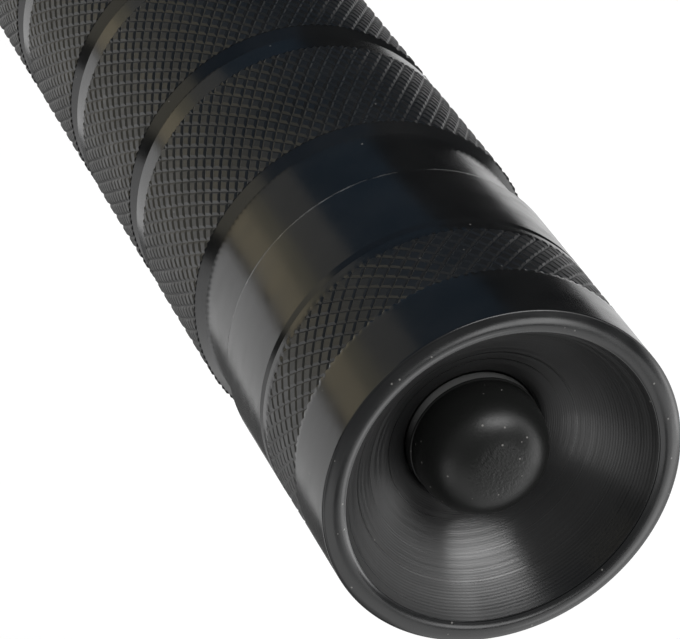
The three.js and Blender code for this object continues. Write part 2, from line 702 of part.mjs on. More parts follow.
const lensSealTopZ = lensSealZ + LENS_SEAL_THICKNESS;
const lensSeal = washerProfile(LENS_RADIUS - LENS_SEAL_WIDTH, LENS_RADIUS, lensSealZ, lensSealTopZ);
addPiece('bezel_ring', bezelRing(), blackAnodised);
addPiece('lens_seal', revolve(lensSeal, OUTER_SIDES), blackRubber);
addPiece('front_lens', frontLens(), clearGlass);
addPiece('reflector', reflector(), mirror);
addPiece('head_housing', headHousing(), blackAnodised);
addPiece('head_o_ring', oRing(headGrooveZ), blackRubber);

addPiece('led_emitter', ledEmitter(), emitterYellow);
addPiece('led_gasket', ledGasket(), whitePlastic);
const ledDisc = discProfile(LED_BOARD_RADIUS, ledBoardZ, ledBoardZ + LED_BOARD);
addPiece('led_board', revolve(ledDisc, INNER_SIDES), whiteBoard);
addPiece('led_lead_positive', ledLead(1), redWire);
addPiece('led_lead_negative', ledLead(-1), blackWire);
addPiece('heat_sink_pill', heatSinkPill(), bareAluminium);
addPiece('driver_board', driverBoard(), greenBoard);
const ringRadius = pillBoreRadius - FIT;
const retainer = washerProfile(
  ringRadius - RETAINING_RING_WIDTH,
  ringRadius,
  retainingRingZ,
  retainingRingZ + RETAINING_RING,
);
addPiece('driver_retaining_ring', revolve(retainer, INNER_SIDES), brass);
addSpring(
  'driver_contact_spring',
  DRIVER_SPRING,
  DRIVER_SPRING_RADIUS,
  driverSpringZ + DRIVER_SPRING.length,
  driverSpringZ,
);

addPiece('battery_tube', batteryTube(), blackAnodised);
CELL_NAMES.forEach((name, i) => {
  addPiece(name, cell(cellZ + i * (CELL_LENGTH + FIT)), cellWrap);
});

addPiece('tail_cap', tailCap(), blackAnodised);
addPiece('tail_o_ring', oRing(tailGrooveZ), blackRubber);
addPiece('rubber_boot', rubberBoot(), blackRubber);
const washer = washerProfile(plungerHoleRadius, bootFlangeRadius, washerZ, washerZ + WASHER);
addPiece('boot_washer', revolve(washer, INNER_SIDES), springSteel);
addPiece('switch_plunger', switchPlunger(), blackPlastic);
addPiece('switch_body', switchBody(), blackPlastic);
addPiece('switch_sleeve', switchSleeve(), bareAluminium);
const boardRadius = sleeveBoreRadius - FIT;
const switchDisc = discProfile(boardRadius, switchBoardZ, switchBoardZ + SWITCH_BOARD);
addPiece('switch_board', revolve(switchDisc, INNER_SIDES), greenBoard);
const snapRing = washerProfile(
  boardRadius - SNAP_RING_WIDTH,
  boardRadius,
  snapRingZ,
  snapRingZ + SNAP_RING_THICKNESS,
);
addPiece('board_snap_ring', revolve(snapRing, INNER_SIDES), springSteel);
const wellFloorZ = switchZ + SWITCH_FLOOR + FIT;
const stemEndZ = switchTopZ - STEM_DEPTH - FIT;
addSpring('switch_return_spring', RETURN_SPRING, RETURN_SPRING_RADIUS, wellFloorZ, stemEndZ);
const tailSpringRadius = boardRadius - SNAP_RING_WIDTH - FIT - TAIL_SPRING.wire / 2;
addSpring('tail_spring', TAIL_SPRING, tailSpringRadius, tailSpringZ + TAIL_SPRING.length, tailSpringZ);

export default flashlight;
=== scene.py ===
# %% [markdown]
# # A black flashlight, seen from its tail
# The flashlight stands on its bezel with its tail up, and the camera looks down at the tail cap. The frame
# holds every piece as a plain solid at its real size. This lesson models the pieces that show again with finer
# surfaces, gives every piece its finish, and sets up the floor, the light and the camera.

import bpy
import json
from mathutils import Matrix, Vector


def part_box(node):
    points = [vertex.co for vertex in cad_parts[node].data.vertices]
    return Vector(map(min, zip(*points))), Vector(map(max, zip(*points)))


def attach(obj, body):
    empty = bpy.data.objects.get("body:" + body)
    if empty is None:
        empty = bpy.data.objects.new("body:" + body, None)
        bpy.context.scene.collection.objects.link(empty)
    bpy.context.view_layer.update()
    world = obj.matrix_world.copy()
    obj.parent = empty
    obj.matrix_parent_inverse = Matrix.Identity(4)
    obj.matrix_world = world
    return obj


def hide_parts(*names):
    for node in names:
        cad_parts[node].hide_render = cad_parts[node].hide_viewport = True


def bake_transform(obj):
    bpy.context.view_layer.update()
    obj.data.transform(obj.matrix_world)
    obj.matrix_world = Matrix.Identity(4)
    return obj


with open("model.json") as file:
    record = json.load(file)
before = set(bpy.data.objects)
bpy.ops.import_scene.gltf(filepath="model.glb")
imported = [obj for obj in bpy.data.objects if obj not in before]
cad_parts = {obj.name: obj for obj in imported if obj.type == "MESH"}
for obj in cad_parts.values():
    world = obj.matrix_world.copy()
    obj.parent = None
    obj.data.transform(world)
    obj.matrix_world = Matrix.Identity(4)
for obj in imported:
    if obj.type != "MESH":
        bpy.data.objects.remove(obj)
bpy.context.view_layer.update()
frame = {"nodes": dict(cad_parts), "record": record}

# %% [markdown]
# ## Millimetres
# Blender works in metres, so sizes stay in millimetres here and are multiplied by MM where an operator needs
# them. Every piece is round, so a level along Z and a radius place it, and both are read from the solid that it
# stands for. FIT is the gap between pieces that seat on each other.

# %% Levels and radii
import json
import math

import bmesh
import bpy
from mathutils import Matrix, Vector

MM = 0.001
FIT = 0.3


def reach(node):
    """Lowest level, highest level and outer radius of a round solid, in millimetres."""
    low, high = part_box(node)
    return low.z / MM, high.z / MM, high.x / MM


tube_front, tube_end, band_radius = reach("battery_tube")
cap_seam, rim, cap_radius = reach("tail_cap")
print(f"tube {tube_front:.1f} to {tube_end:.1f} mm, cap {cap_seam:.1f} to {rim:.1f} mm")

# %% [markdown]
# ## Camera
# The camera comes first, because everything is judged through it. A long lens from a third of a metre keeps
# the perspective as flat as in a close product shot. The view is rolled, so that the tail points to the
# lower right of the picture.

# %% Camera
CAMERA_AT = Vector((0, -193.0, 468.4)) * MM
CAMERA_AIM = Vector((3.85, 0, 195.0)) * MM
CAMERA_ROLL = math.radians(145.6)
CAMERA_LENS = 191.2

camera_data = bpy.data.cameras.new("camera")
camera_data.sensor_fit = "HORIZONTAL"
camera_data.lens = CAMERA_LENS
camera_data.clip_start = 0.01
camera = bpy.data.objects.new("camera", camera_data)
bpy.context.scene.collection.objects.link(camera)
aim_turn = (CAMERA_AIM - CAMERA_AT).to_track_quat("-Z", "Y").to_matrix().to_4x4()
camera.matrix_world = Matrix.Translation(CAMERA_AT) @ aim_turn @ Matrix.Rotation(CAMERA_ROLL, 4, "Z")
bpy.context.scene.camera = camera
print(f"camera {(CAMERA_AT - CAMERA_AIM).length / MM:.0f} mm from its aim")

# %% [markdown]
# ## Tools for turned pieces
# On a lathe each piece starts as a profile. Here the profile is drawn by extruding one vertex from point to
# point, and spun round the axis. Merging the doubles closes the seam and the poles, and recalculated normals
# make the faces point outwards. A Bevel modifier then breaks the sharp edges.

# %% Draw, spin and finish
MERGE = 1e-6
NEAR = 10 * MERGE
SMOOTH_ANGLE = math.radians(22)
SHARP_ANGLE = math.radians(40)
BEVEL_STEPS = 5
TURNED_SIDES = 128


def pick(kind, wanted):
    """Selects the edges or faces of the open mesh that wanted accepts."""
    mesh = bpy.context.object.data
    bpy.ops.mesh.select_mode(type=kind)
    bpy.ops.mesh.select_all(action="DESELECT")
    opened = bmesh.from_edit_mesh(mesh)
    for part in opened.edges if kind == "EDGE" else opened.faces:
        if wanted(part):
            part.select_set(True)
    bmesh.update_edit_mesh(mesh)


def draw(name, outline):
    """A chain of edges through (radius, level) points, left open in edit mode."""
    bpy.ops.mesh.primitive_plane_add(size=MM)
    piece = bpy.context.object
    piece.name = name
    bpy.ops.object.mode_set(mode="EDIT")
    bpy.ops.mesh.select_mode(type="VERT")
    bpy.ops.mesh.select_all(action="SELECT")
    bpy.ops.mesh.merge(type="CENTER")
    radius, level = outline[0]
    bpy.ops.transform.translate(value=(radius * MM, 0, level * MM))
    for next_radius, next_level in outline[1:]:
        step = ((next_radius - radius) * MM, 0, (next_level - level) * MM)
        bpy.ops.mesh.extrude_region_move(TRANSFORM_OT_translate={"value": step})
        radius, level = next_radius, next_level
    return piece


def close_mesh():
    """Merges doubles, turns the faces outwards and leaves edit mode."""
    bpy.ops.mesh.select_all(action="SELECT")
    bpy.ops.mesh.remove_doubles(threshold=MERGE)
    bpy.ops.mesh.normals_make_consistent()
    bpy.ops.object.mode_set(mode="OBJECT")


def apply_modifier(piece, kind, **settings):
    """Adds a modifier with these settings and applies it."""
    modifier = piece.modifiers.new(kind.title(), kind)
    for setting, value in settings.items():
        setattr(modifier, setting, value)
    bpy.ops.object.modifier_apply(modifier=modifier.name)


def turn(name, outline, sides=TURNED_SIDES, edge=0.0):
    """Spins an outline that closes on itself or on the axis, and rounds sharp edges over a width."""
    piece = draw(name, outline)
    bpy.ops.mesh.select_all(action="SELECT")
    bpy.ops.mesh.spin(steps=sides, angle=math.tau, center=(0, 0, 0), axis=(0, 0, 1))
    close_mesh()
    if edge:
        limit = {"limit_method": "ANGLE", "angle_limit": SHARP_ANGLE}
        apply_modifier(piece, "BEVEL", width=edge * MM, segments=BEVEL_STEPS, **limit)
    bpy.ops.object.shade_smooth_by_angle(angle=SMOOTH_ANGLE)
    return piece


def arc(centre, radius, start, end, steps):
    """Points on an arc about a (radius, level) centre; 0 degrees points outwards, 90 to the tail."""
    angles = [math.radians(start + (end - start) * step / steps) for step in range(steps + 1)]
    return [(centre[0] + radius * math.cos(a), centre[1] + radius * math.sin(a)) for a in angles]


def report(piece):
    """Prints how many triangles a finished piece has."""
    piece.data.calc_loop_triangles()
    print(f"{piece.name}: {len(piece.data.loop_triangles)} triangles")


# %% [markdown]
# ## Tools for knurling
# A knurling wheel presses two sets of crossing grooves into the metal and leaves rows of diamonds. A sleeve of
# quads becomes diamonds when every face is poked to its centre and the old edges are dissolved. Insetting each
# diamond with a depth then raises it above the grooves. Bisect trims the sleeve to its levels, and each open
# end can be rounded to a circle and drawn on as plain metal.

# %% Knurled sleeves
TRIM_PHASE = 0.25


def trim(low, high):
    """Cuts the open mesh square at two levels and keeps what lies between."""
    for level, keeps_above in ((low, True), (high, False)):
        bpy.ops.mesh.select_all(action="SELECT")
        kept = {"clear_inner": keeps_above, "clear_outer": not keeps_above}
        bpy.ops.mesh.bisect(plane_co=(0, 0, level * MM), plane_no=(0, 0, 1), threshold=MERGE, **kept)


def knurled_sleeve(name, radius, low, high, columns, rows, cut, groove):
    """Open sleeve of raised diamonds between two levels, left open in edit mode."""
    row = (high - low) / rows
    centre = (low + high) / 2 + TRIM_PHASE * row
    bpy.ops.mesh.primitive_cylinder_add(
        vertices=columns,
        radius=(radius - cut) * MM,
        depth=(rows + 2) * row * MM,
        location=(0, 0, centre * MM),
        end_fill_type="NOTHING",
    )
    piece = bpy.context.object
    piece.name = name
    bpy.ops.object.transform_apply()
    bpy.ops.object.mode_set(mode="EDIT")
    pick("EDGE", lambda edge: abs(edge.verts[0].co.z - edge.verts[1].co.z) > row * MM / 2)
    bpy.ops.mesh.subdivide(number_cuts=rows + 1)
    corners = len(bmesh.from_edit_mesh(piece.data).verts)
    pick("FACE", lambda face: True)
    bpy.ops.mesh.poke()
    bmesh.from_edit_mesh(piece.data).verts.index_update()
    pick("EDGE", lambda edge: not edge.is_boundary and max(v.index for v in edge.verts) < corners)
    bpy.ops.mesh.dissolve_edges(use_verts=False, use_face_split=False)
    pick("FACE", lambda face: True)
    bpy.ops.mesh.inset(thickness=groove / 2 * MM, depth=cut * MM, use_individual=True)
    trim(low, high)
    return piece


def pick_open_loops(*levels):
    """Selects the open edges at these levels."""
    def lies_at(edge, level):
        return all(abs(v.co.z - level * MM) < NEAR for v in edge.verts)

    pick("EDGE", lambda edge: edge.is_boundary and any(lies_at(edge, level) for level in levels))


def draw_on(level, outline, rounded=False):
    """Extrudes the open loop at a level through (radius, level) points."""
    pick_open_loops(level)
    for radius, next_level in outline:
        step = (0, 0, (next_level - level) * MM)
        bpy.ops.mesh.extrude_region_move(TRANSFORM_OT_translate={"value": step})
        if not rounded:
            bpy.ops.transform.tosphere(value=1.0)
            rounded = True
        opened = bmesh.from_edit_mesh(bpy.context.object.data)
        grow = radius * MM / next(v.co.xy.length for v in opened.verts if v.select)
        bpy.ops.transform.resize(value=(grow, grow, 1), center_override=(0, 0, next_level * MM))
        level = next_level


# %% [markdown]
# ## Battery tube: the bands
# Each band has a square shoulder and a plain edge towards the head, a long knurled stretch, and a short ramp
# towards the tail. All bands are alike, so one is modelled and an Array modifier repeats it along the axis,
# merging the grooves between the bands into one skin.

# %% Bands of the battery tube
BAND_COUNT = 5
BAND_PITCH = 21.45
KNURL_LENGTH = 16.48
PLAIN_EDGE = 2.62
PLAIN_EDGE_DEPTH = 0.1
EDGE_BREAK = 0.12
BAND_STEP = 0.8
RAMP_LENGTH = 1.26
RAMP_RUN = 1.08
TAIL_NECK = 7.9
TOOTH_CUT = 0.14
TOOTH_GROOVE = 0.5
BAND_COLUMNS = 76
BAND_ROWS = 7

neck_radius = band_radius - BAND_STEP
last_knurl_top = cap_seam - TAIL_NECK - RAMP_LENGTH
first_knurl_top = last_knurl_top - (BAND_COUNT - 1) * BAND_PITCH
knurl_low = first_knurl_top - KNURL_LENGTH
shoulder = knurl_low - PLAIN_EDGE
band_end = first_knurl_top + RAMP_LENGTH
band_start = band_end - BAND_PITCH
plain_radius = band_radius - PLAIN_EDGE_DEPTH

band_knurl = (BAND_COLUMNS, BAND_ROWS, TOOTH_CUT, TOOTH_GROOVE)
tube = knurled_sleeve("battery_tube_turned", band_radius, knurl_low, first_knurl_top, *band_knurl)
draw_on(knurl_low, [
    (plain_radius, knurl_low),
    (plain_radius, shoulder + EDGE_BREAK),
    (plain_radius - EDGE_BREAK, shoulder),
    (neck_radius, shoulder),
    (neck_radius, band_start),
])
draw_on(first_knurl_top, [
    (band_radius - TOOTH_CUT, first_knurl_top),
    (neck_radius, first_knurl_top + RAMP_RUN),
    (neck_radius, band_end),
])
bpy.ops.object.mode_set(mode="OBJECT")
apply_modifier(
    tube,
    "ARRAY",
    count=BAND_COUNT,
    use_relative_offset=False,
    use_constant_offset=True,
    constant_offset_displace=(0, 0, BAND_PITCH * MM),
    use_merge_vertices=True,
    merge_threshold=NEAR,
)
report(tube)

# %% [markdown]
# ## Battery tube: the thread for the cap
# When the cap is backed off, the thread on the tube comes into view. The Screw modifier sweeps one ridge round
# the axis while it climbs by the pitch. RIDGE gives its section in shares of the height and the pitch. Bisect
# cuts both ends square, and rounding the open loops lets the thread run out into the plain spigot.

# %% Thread
SPIGOT_STEP = 0.8
THREAD_PITCH = 1.0
THREAD_HEIGHT = 0.22
THREAD_SIDES = 96
THREAD_FROM_SHOULDER = 3.6
THREAD_LENGTH = 5.4
THREAD_RUN_OUT = 0.2
RIDGE = [(0, 0), (1, 0.32), (1, 0.44), (0, 0.76), (0, 1)]

spigot_radius = neck_radius - SPIGOT_STEP
tube_shoulder = cap_seam - FIT
thread_low = tube_shoulder + THREAD_FROM_SHOULDER
thread_high = thread_low + THREAD_LENGTH
ridge_start = thread_low - 1.5 * THREAD_PITCH
ridge = [(spigot_radius + THREAD_HEIGHT * rise, ridge_start + THREAD_PITCH * run) for rise, run in RIDGE]

thread = draw("tube_thread", ridge)
bpy.ops.object.mode_set(mode="OBJECT")
apply_modifier(
    thread,
    "SCREW",
    axis="Z",
    screw_offset=THREAD_PITCH * MM,
    iterations=round(THREAD_LENGTH / THREAD_PITCH) + 3,
    steps=THREAD_SIDES,
    render_steps=THREAD_SIDES,
)
bpy.ops.object.mode_set(mode="EDIT")
bpy.ops.mesh.select_all(action="SELECT")
bpy.ops.mesh.remove_doubles(threshold=MERGE)
trim(thread_low, thread_high)
thread_foot = thread_low - THREAD_RUN_OUT
thread_end = thread_high + THREAD_RUN_OUT
draw_on(thread_low, [(spigot_radius, thread_foot)])
draw_on(thread_high, [(spigot_radius, thread_end)])
bpy.ops.object.mode_set(mode="OBJECT")
report(thread)

# %% [markdown]
# ## Battery tube: necks, spigots and bore
# Past the last band the tube is plain: a neck, a shoulder that the cap stops at, an O-ring groove, and then
# the thread. The open loops are drawn on through these levels, bridged to the thread, and closed inside by
# the bore, so that the tube ends up as one closed wall.

# %% Ends of the battery tube
CELL_PLAY = 0.4
GROOVE_ROOT_DEPTH = 0.9
GROOVE_WIDTH = 1.6
GROOVE_FROM_SHOULDER = 1.2
TURNED_EDGE = 0.4
SHOULDER_EDGE = 0.2

bore_radius = reach("rear_cell")[2] + CELL_PLAY
head_back = reach("head_housing")[1]
head_shoulder = head_back + FIT
groove_root = spigot_radius - GROOVE_ROOT_DEPTH
neck_end = last_knurl_top + RAMP_LENGTH
spigot_end = thread_foot - THREAD_RUN_OUT


def o_ring_groove(start, direction):
    """Points of an O-ring groove that starts at a level and runs towards the head or the tail."""
    end = start + direction * GROOVE_WIDTH
    return [(spigot_radius, start), (groove_root, start), (groove_root, end), (spigot_radius, end)]


bpy.ops.object.select_all(action="DESELECT")
thread.select_set(True)
tube.select_set(True)
bpy.context.view_layer.objects.active = tube
bpy.ops.object.join()
bpy.ops.object.mode_set(mode="EDIT")
draw_on(neck_end, [
    (neck_radius, tube_shoulder - SHOULDER_EDGE),
    (neck_radius - SHOULDER_EDGE, tube_shoulder),
    (spigot_radius, tube_shoulder),
    *o_ring_groove(tube_shoulder + GROOVE_FROM_SHOULDER, 1),
    (spigot_radius, spigot_end),
], rounded=True)
draw_on(thread_end, [
    (spigot_radius, tube_end - TURNED_EDGE),
    (spigot_radius - TURNED_EDGE, tube_end),
    (bore_radius + TURNED_EDGE, tube_end),
    (bore_radius, tube_end - TURNED_EDGE),
], rounded=True)
draw_on(band_start, [
    (neck_radius, head_shoulder),
    (spigot_radius, head_shoulder),
    *o_ring_groove(head_back - GROOVE_FROM_SHOULDER, -1),
    (spigot_radius, tube_front + TURNED_EDGE),
    (spigot_radius - TURNED_EDGE, tube_front),
    (bore_radius + TURNED_EDGE, tube_front),
    (bore_radius, tube_front + TURNED_EDGE),
], rounded=True)
for low, high in ((spigot_end, thread_foot), (tube_front + TURNED_EDGE, tube_end - TURNED_EDGE)):
    pick_open_loops(low, high)
    bpy.ops.mesh.bridge_edge_loops()
close_mesh()
bpy.ops.object.shade_smooth_by_angle(angle=SMOOTH_ANGLE)
report(tube)

# %% [markdown]
# ## Tail cap
# Outside the cap has a plain band below the rim, a shallow knurled ring, a thin groove and a plain skirt. The
# rim has a tight corner, a gentle crown and a rounded lip with a small step inside. From there a dish falls to
# the button hole, deep enough for the button to stay below the rim. The cap is drawn on from the knurled ring
# in both directions until the two ends meet in the socket.

# %% Tail cap
CAP_KNURL_FROM_RIM = 7.7
CAP_KNURL_LENGTH = 7.5
CAP_COLUMNS = 63
CAP_ROWS = 4
CAP_CUT = 0.12
CAP_CUT_WIDTH = 0.4
CAP_CUT_FADE = 0.3
RIM_CORNER = 0.2
RIM_CROWN = 2.56
RIM_LEAN = 62
RIM_STEPS = 8
DISH_MOUTH = 14.5
LIP_ROUND = 1.4
LIP_TURN = 30
MOUTH_STEP = 0.12
MOUTH_STEP_LEAN = 0.02
MOUTH_LEDGE = 0.1
MOUTH_LEDGE_FALL = 0.03
DISH_DEPTH = 8.0
DISH_SAG = 0.9
DISH_STEPS = 28
BUTTON_HOLE = 6.25
HOLE_EDGE = 0.15
WEB = 2.0
CAP_GROOVE_FROM_RIM = 16.3
CAP_GROOVE_WIDTH = 0.9
CAP_GROOVE_DEPTH = 0.4
CAP_GROOVE_WALL = 0.08
CAP_WALL = 1.1
SEAM_CHAMFER = 0.4
SEAM_BREAK = [(0, 0.25), (0.02, 0.06), (0.08, -0.06)]

knurl_high = rim - CAP_KNURL_FROM_RIM
cap_knurl_low = knurl_high - CAP_KNURL_LENGTH
dish_floor = rim - DISH_DEPTH
web_face = dish_floor - WEB
socket_radius = cap_radius - CAP_WALL
socket_end = tube_end + FIT
pocket_radius = reach("switch_sleeve")[2] + FIT
groove_top = rim - CAP_GROOVE_FROM_RIM
seam_edge = cap_seam + SEAM_CHAMFER
seam_break = [(cap_radius - depth, seam_edge + height) for depth, height in SEAM_BREAK]
lean = math.radians(RIM_LEAN)
crown = (cap_radius - RIM_CORNER - (RIM_CROWN - RIM_CORNER) * math.cos(lean), rim - RIM_CROWN)
corner = (cap_radius - RIM_CORNER, crown[1] + (RIM_CROWN - RIM_CORNER) * math.sin(lean))
lip = arc((crown[0], rim - LIP_ROUND), LIP_ROUND, 90, 90 + LIP_TURN, RIM_STEPS)
lip_radius, lip_level = lip[-1]
ledge_radius = lip_radius - MOUTH_LEDGE
ledge_level = lip_level - MOUTH_STEP - MOUTH_LEDGE_FALL


def dish_point(share):
    """Point on the dish's wall, from its mouth at 0 to the button hole at 1."""
    run, fall = DISH_MOUTH - BUTTON_HOLE, DISH_DEPTH
    bow = 4 * DISH_SAG * share * (1 - share) / math.hypot(run, fall)
    return DISH_MOUTH - run * share + fall * bow, rim - fall * share - run * bow


cap_knurl = (CAP_COLUMNS, CAP_ROWS, CAP_CUT, CAP_CUT_WIDTH)
cap = knurled_sleeve("tail_cap_turned", cap_radius, cap_knurl_low, knurl_high, *cap_knurl)
draw_on(knurl_high, [
    (cap_radius, knurl_high + CAP_CUT_FADE),
    (cap_radius, knurl_high + 2 * CAP_CUT_FADE),
    *arc(corner, RIM_CORNER, 0, RIM_LEAN, RIM_STEPS),
    *arc(crown, RIM_CROWN, RIM_LEAN, 90, RIM_STEPS)[1:],
    *lip[1:],
    (lip_radius - MOUTH_STEP_LEAN, lip_level - MOUTH_STEP),
    (ledge_radius, ledge_level),
    *[dish_point(step / DISH_STEPS) for step in range(2, DISH_STEPS)],
    (BUTTON_HOLE + HOLE_EDGE, dish_floor),
    (BUTTON_HOLE, dish_floor - HOLE_EDGE),
    (BUTTON_HOLE, web_face),
    (pocket_radius, web_face),
    (pocket_radius, socket_end),
])
draw_on(cap_knurl_low, [
    (cap_radius, cap_knurl_low - CAP_CUT_FADE),
    (cap_radius, cap_knurl_low - 2 * CAP_CUT_FADE),
    (cap_radius, groove_top),
    (cap_radius - CAP_GROOVE_DEPTH, groove_top - CAP_GROOVE_WALL),
    (cap_radius, groove_top - CAP_GROOVE_WIDTH),
    *seam_break,
    (cap_radius - SEAM_CHAMFER, cap_seam),
    (socket_radius, cap_seam),
    (socket_radius, socket_end),
])
pick_open_loops(socket_end)
bpy.ops.mesh.bridge_edge_loops()
close_mesh()
bpy.ops.object.shade_smooth_by_angle(angle=SMOOTH_ANGLE)
report(cap)

# %% [markdown]
# ## Rubber boot
# The boot is moulded: a flange that the switch clamps under the cap's end, a collar in the hole, and a dome
# over the plunger. The dome is fuller than a half ball, so that its crown is flat enough for a thumb.

# %% Rubber boot
BOOT_WALL = 1.2
BOOT_GAP = 0.15
BOOT_LEDGE = 0.1
COLLAR_HEIGHT = 0.9
DOME_RISE = 1.3
DOME_FULLNESS = 0.75
DOME_STEPS = 36
BORE_STEPS = 12
BOOT_FLANGE = 1.2
FLANGE_EDGE = 0.2
COLLAR_FOOT = 0.1
COLLAR_EDGE = 0.12
COLLAR_LEAN = 0.06
CREASE = [(0.1, 0.05), (0, 0.16)]
BOOT_SIDES = 96

boot_low, boot_top, flange_radius = reach("rubber_boot")
collar_radius = BUTTON_HOLE - BOOT_GAP
dome_radius = collar_radius - BOOT_LEDGE
dome_centre = dish_floor + DOME_RISE
dome_height = boot_top - dome_centre
boot_bore = dome_radius - BOOT_WALL
collar_top = dish_floor + COLLAR_HEIGHT


def dome(radius, height, steps):
    """A dome with a flat crown, from its equator to the axis; a fullness of 1 makes an ellipse."""
    angles = [math.pi / 2 * step / steps for step in range(steps)]
    points = [
        (radius * math.cos(a) ** DOME_FULLNESS, dome_centre + height * math.sin(a) ** DOME_FULLNESS)
        for a in angles
    ]
    return [*points, (0, dome_centre + height)]


boot = turn("rubber_boot_moulded", [
    *reversed(dome(boot_bore, dome_height - BOOT_WALL, BORE_STEPS)),
    (boot_bore, boot_low),
    (flange_radius - FLANGE_EDGE, boot_low),
    (flange_radius, boot_low + FLANGE_EDGE),
    (flange_radius, boot_low + BOOT_FLANGE),
    (collar_radius, boot_low + BOOT_FLANGE),
    (collar_radius, dish_floor - COLLAR_FOOT),
    (collar_radius, collar_top - COLLAR_EDGE),
    (collar_radius - COLLAR_LEAN, collar_top),
    *[(dome_radius - depth, collar_top + height) for depth, height in CREASE],
    *dome(dome_radius, dome_height, DOME_STEPS),
], sides=BOOT_SIDES)
report(boot)

# %% [markdown]
# ## O-rings
# Two O-rings keep water out where the tube screws into the head and the cap. Their solids have a section of
# six sides, and a round one through the same corners is spun here.

# %% O-rings
SEAL_SECTION_STEPS = 16
SOLID_SECTION_SIDES = 6


def o_ring(node):
    """A smooth O-ring in place of the faceted one."""
    low, high, outer = reach(node)
    section = (high - low) / 2 / math.cos(math.pi / SOLID_SECTION_SIDES)
    middle = (outer - section, (low + high) / 2)
    ring = turn(node + "_moulded", arc(middle, section, 0, 360, SEAL_SECTION_STEPS))
    report(ring)
    return ring


tail_o_ring = o_ring("tail_o_ring")
head_o_ring = o_ring("head_o_ring")

# %% [markdown]
# ## Springs
# Each spring is one wire. A filled circle of the wire's size is extruded step by step along a helix and turned
# with it, so that the section stays square to its path. The contact springs narrow towards the tip.

# %% Springs
WIRE_SIDES = 12
COIL_STEPS = 32
WIRE_SMOOTH_ANGLE = math.radians(60)


def coil(name, base, tip, wire, turns, radii):
    """A coil spring whose wire lies between the levels of its base and its tip, with a radius at each."""
    base_radius, tip_radius = radii
    inward = math.copysign(wire / 2, tip - base)
    steps = round(COIL_STEPS * turns)

    def centre(step):
        share = step / steps
        angle = math.tau * turns * share
        radius = base_radius + (tip_radius - base_radius) * share
        level = base + inward + (tip - base - 2 * inward) * share
        return Vector((radius * math.cos(angle), radius * math.sin(angle), level)) * MM

    bpy.ops.mesh.primitive_circle_add(
        vertices=WIRE_SIDES,
        radius=wire / 2 * MM,
        fill_type="NGON",
        location=centre(0),
        rotation=(math.pi / 2, 0, 0),
    )
    piece = bpy.context.object
    piece.name = name
    bpy.ops.object.transform_apply()
    bpy.ops.object.mode_set(mode="EDIT")
    bpy.ops.mesh.select_all(action="SELECT")
    for step in range(steps):
        move = centre(step + 1) - centre(step)
        bpy.ops.mesh.extrude_region_move(TRANSFORM_OT_translate={"value": move})
        bpy.ops.transform.rotate(
            value=-math.tau * turns / steps,
            orient_axis="Z",
            orient_type="GLOBAL",
            center_override=centre(step + 1),
        )
    close_mesh()
    bpy.ops.object.shade_smooth_by_angle(angle=WIRE_SMOOTH_ANGLE)
    report(piece)
    return piece


tail_low, tail_high, _ = reach("tail_spring")
driver_low, driver_high, _ = reach("driver_contact_spring")
return_low, return_high, _ = reach("switch_return_spring")
tail_spring = coil("tail_spring_wound", tail_high, tail_low, wire=1.0, turns=3.5, radii=(6.38, 3.98))
driver_spring = coil("driver_spring_wound", driver_high, driver_low, wire=0.8, turns=3, radii=(4.2, 3.0))
return_spring = coil("return_spring_wound", return_low, return_high, wire=0.45, turns=4, radii=(2.2, 2.2))

# %% [markdown]
# ## Head housing and bezel
# The head is a bell that holds the reflector, a cone, cooling fins over the light engine and a collar round
# the tube. The bezel is a ring that screws into the bell's mouth and holds the lens. Both are turned from bar,
# with every edge broken.

# %% Head housing and bezel
HEAD_WALL = 1.9
HEAD_EDGE = 0.2
HEAD_SIDES = 160
FIN_COUNT = 5
FIN = 2.0
FIN_HEIGHT = 2.2
COLLAR_LENGTH = 9.5
COLLAR_STEP = 1.0
BELL_GROOVES = (9.3, 12.3)
BELL_GROOVE = 1.0
BELL_GROOVE_DEPTH = 0.6
BELL_BACK = 26.0
BEZEL_HEIGHT = 6.0
BEZEL_THREAD = 6.5
BEZEL_THREAD_WALL = 1.3
BEZEL_BEVEL = 1.2
BEZEL_LIP = 2.0
BEZEL_LIP_WIDTH = 1.4

bell_front, _, bell_radius = reach("head_housing")
lens_low, lens_high, lens_radius = reach("front_lens")
pill_radius = reach("heat_sink_pill")[2]
pill_seat = pill_radius + FIT
fin_root = pill_seat + HEAD_WALL
fin_radius = fin_root + FIN_HEIGHT
fins_end = head_back - COLLAR_LENGTH
fins_start = fins_end - (2 * FIN_COUNT - 1) * FIN
cone_end = fins_start - FIN
collar = fin_root + COLLAR_STEP
bezel_bore = lens_radius + FIT
bezel_thread_radius = bezel_bore + BEZEL_THREAD_WALL
head_mouth = bezel_thread_radius + FIT
mouth_end = BEZEL_HEIGHT + BEZEL_THREAD + FIT


def ribs(starts, width, foot, top):
    """Square steps from a foot radius to a top radius, one at each start level."""
    points = []
    for start in starts:
        points += [(foot, start), (top, start), (top, start + width), (foot, start + width)]
    return points


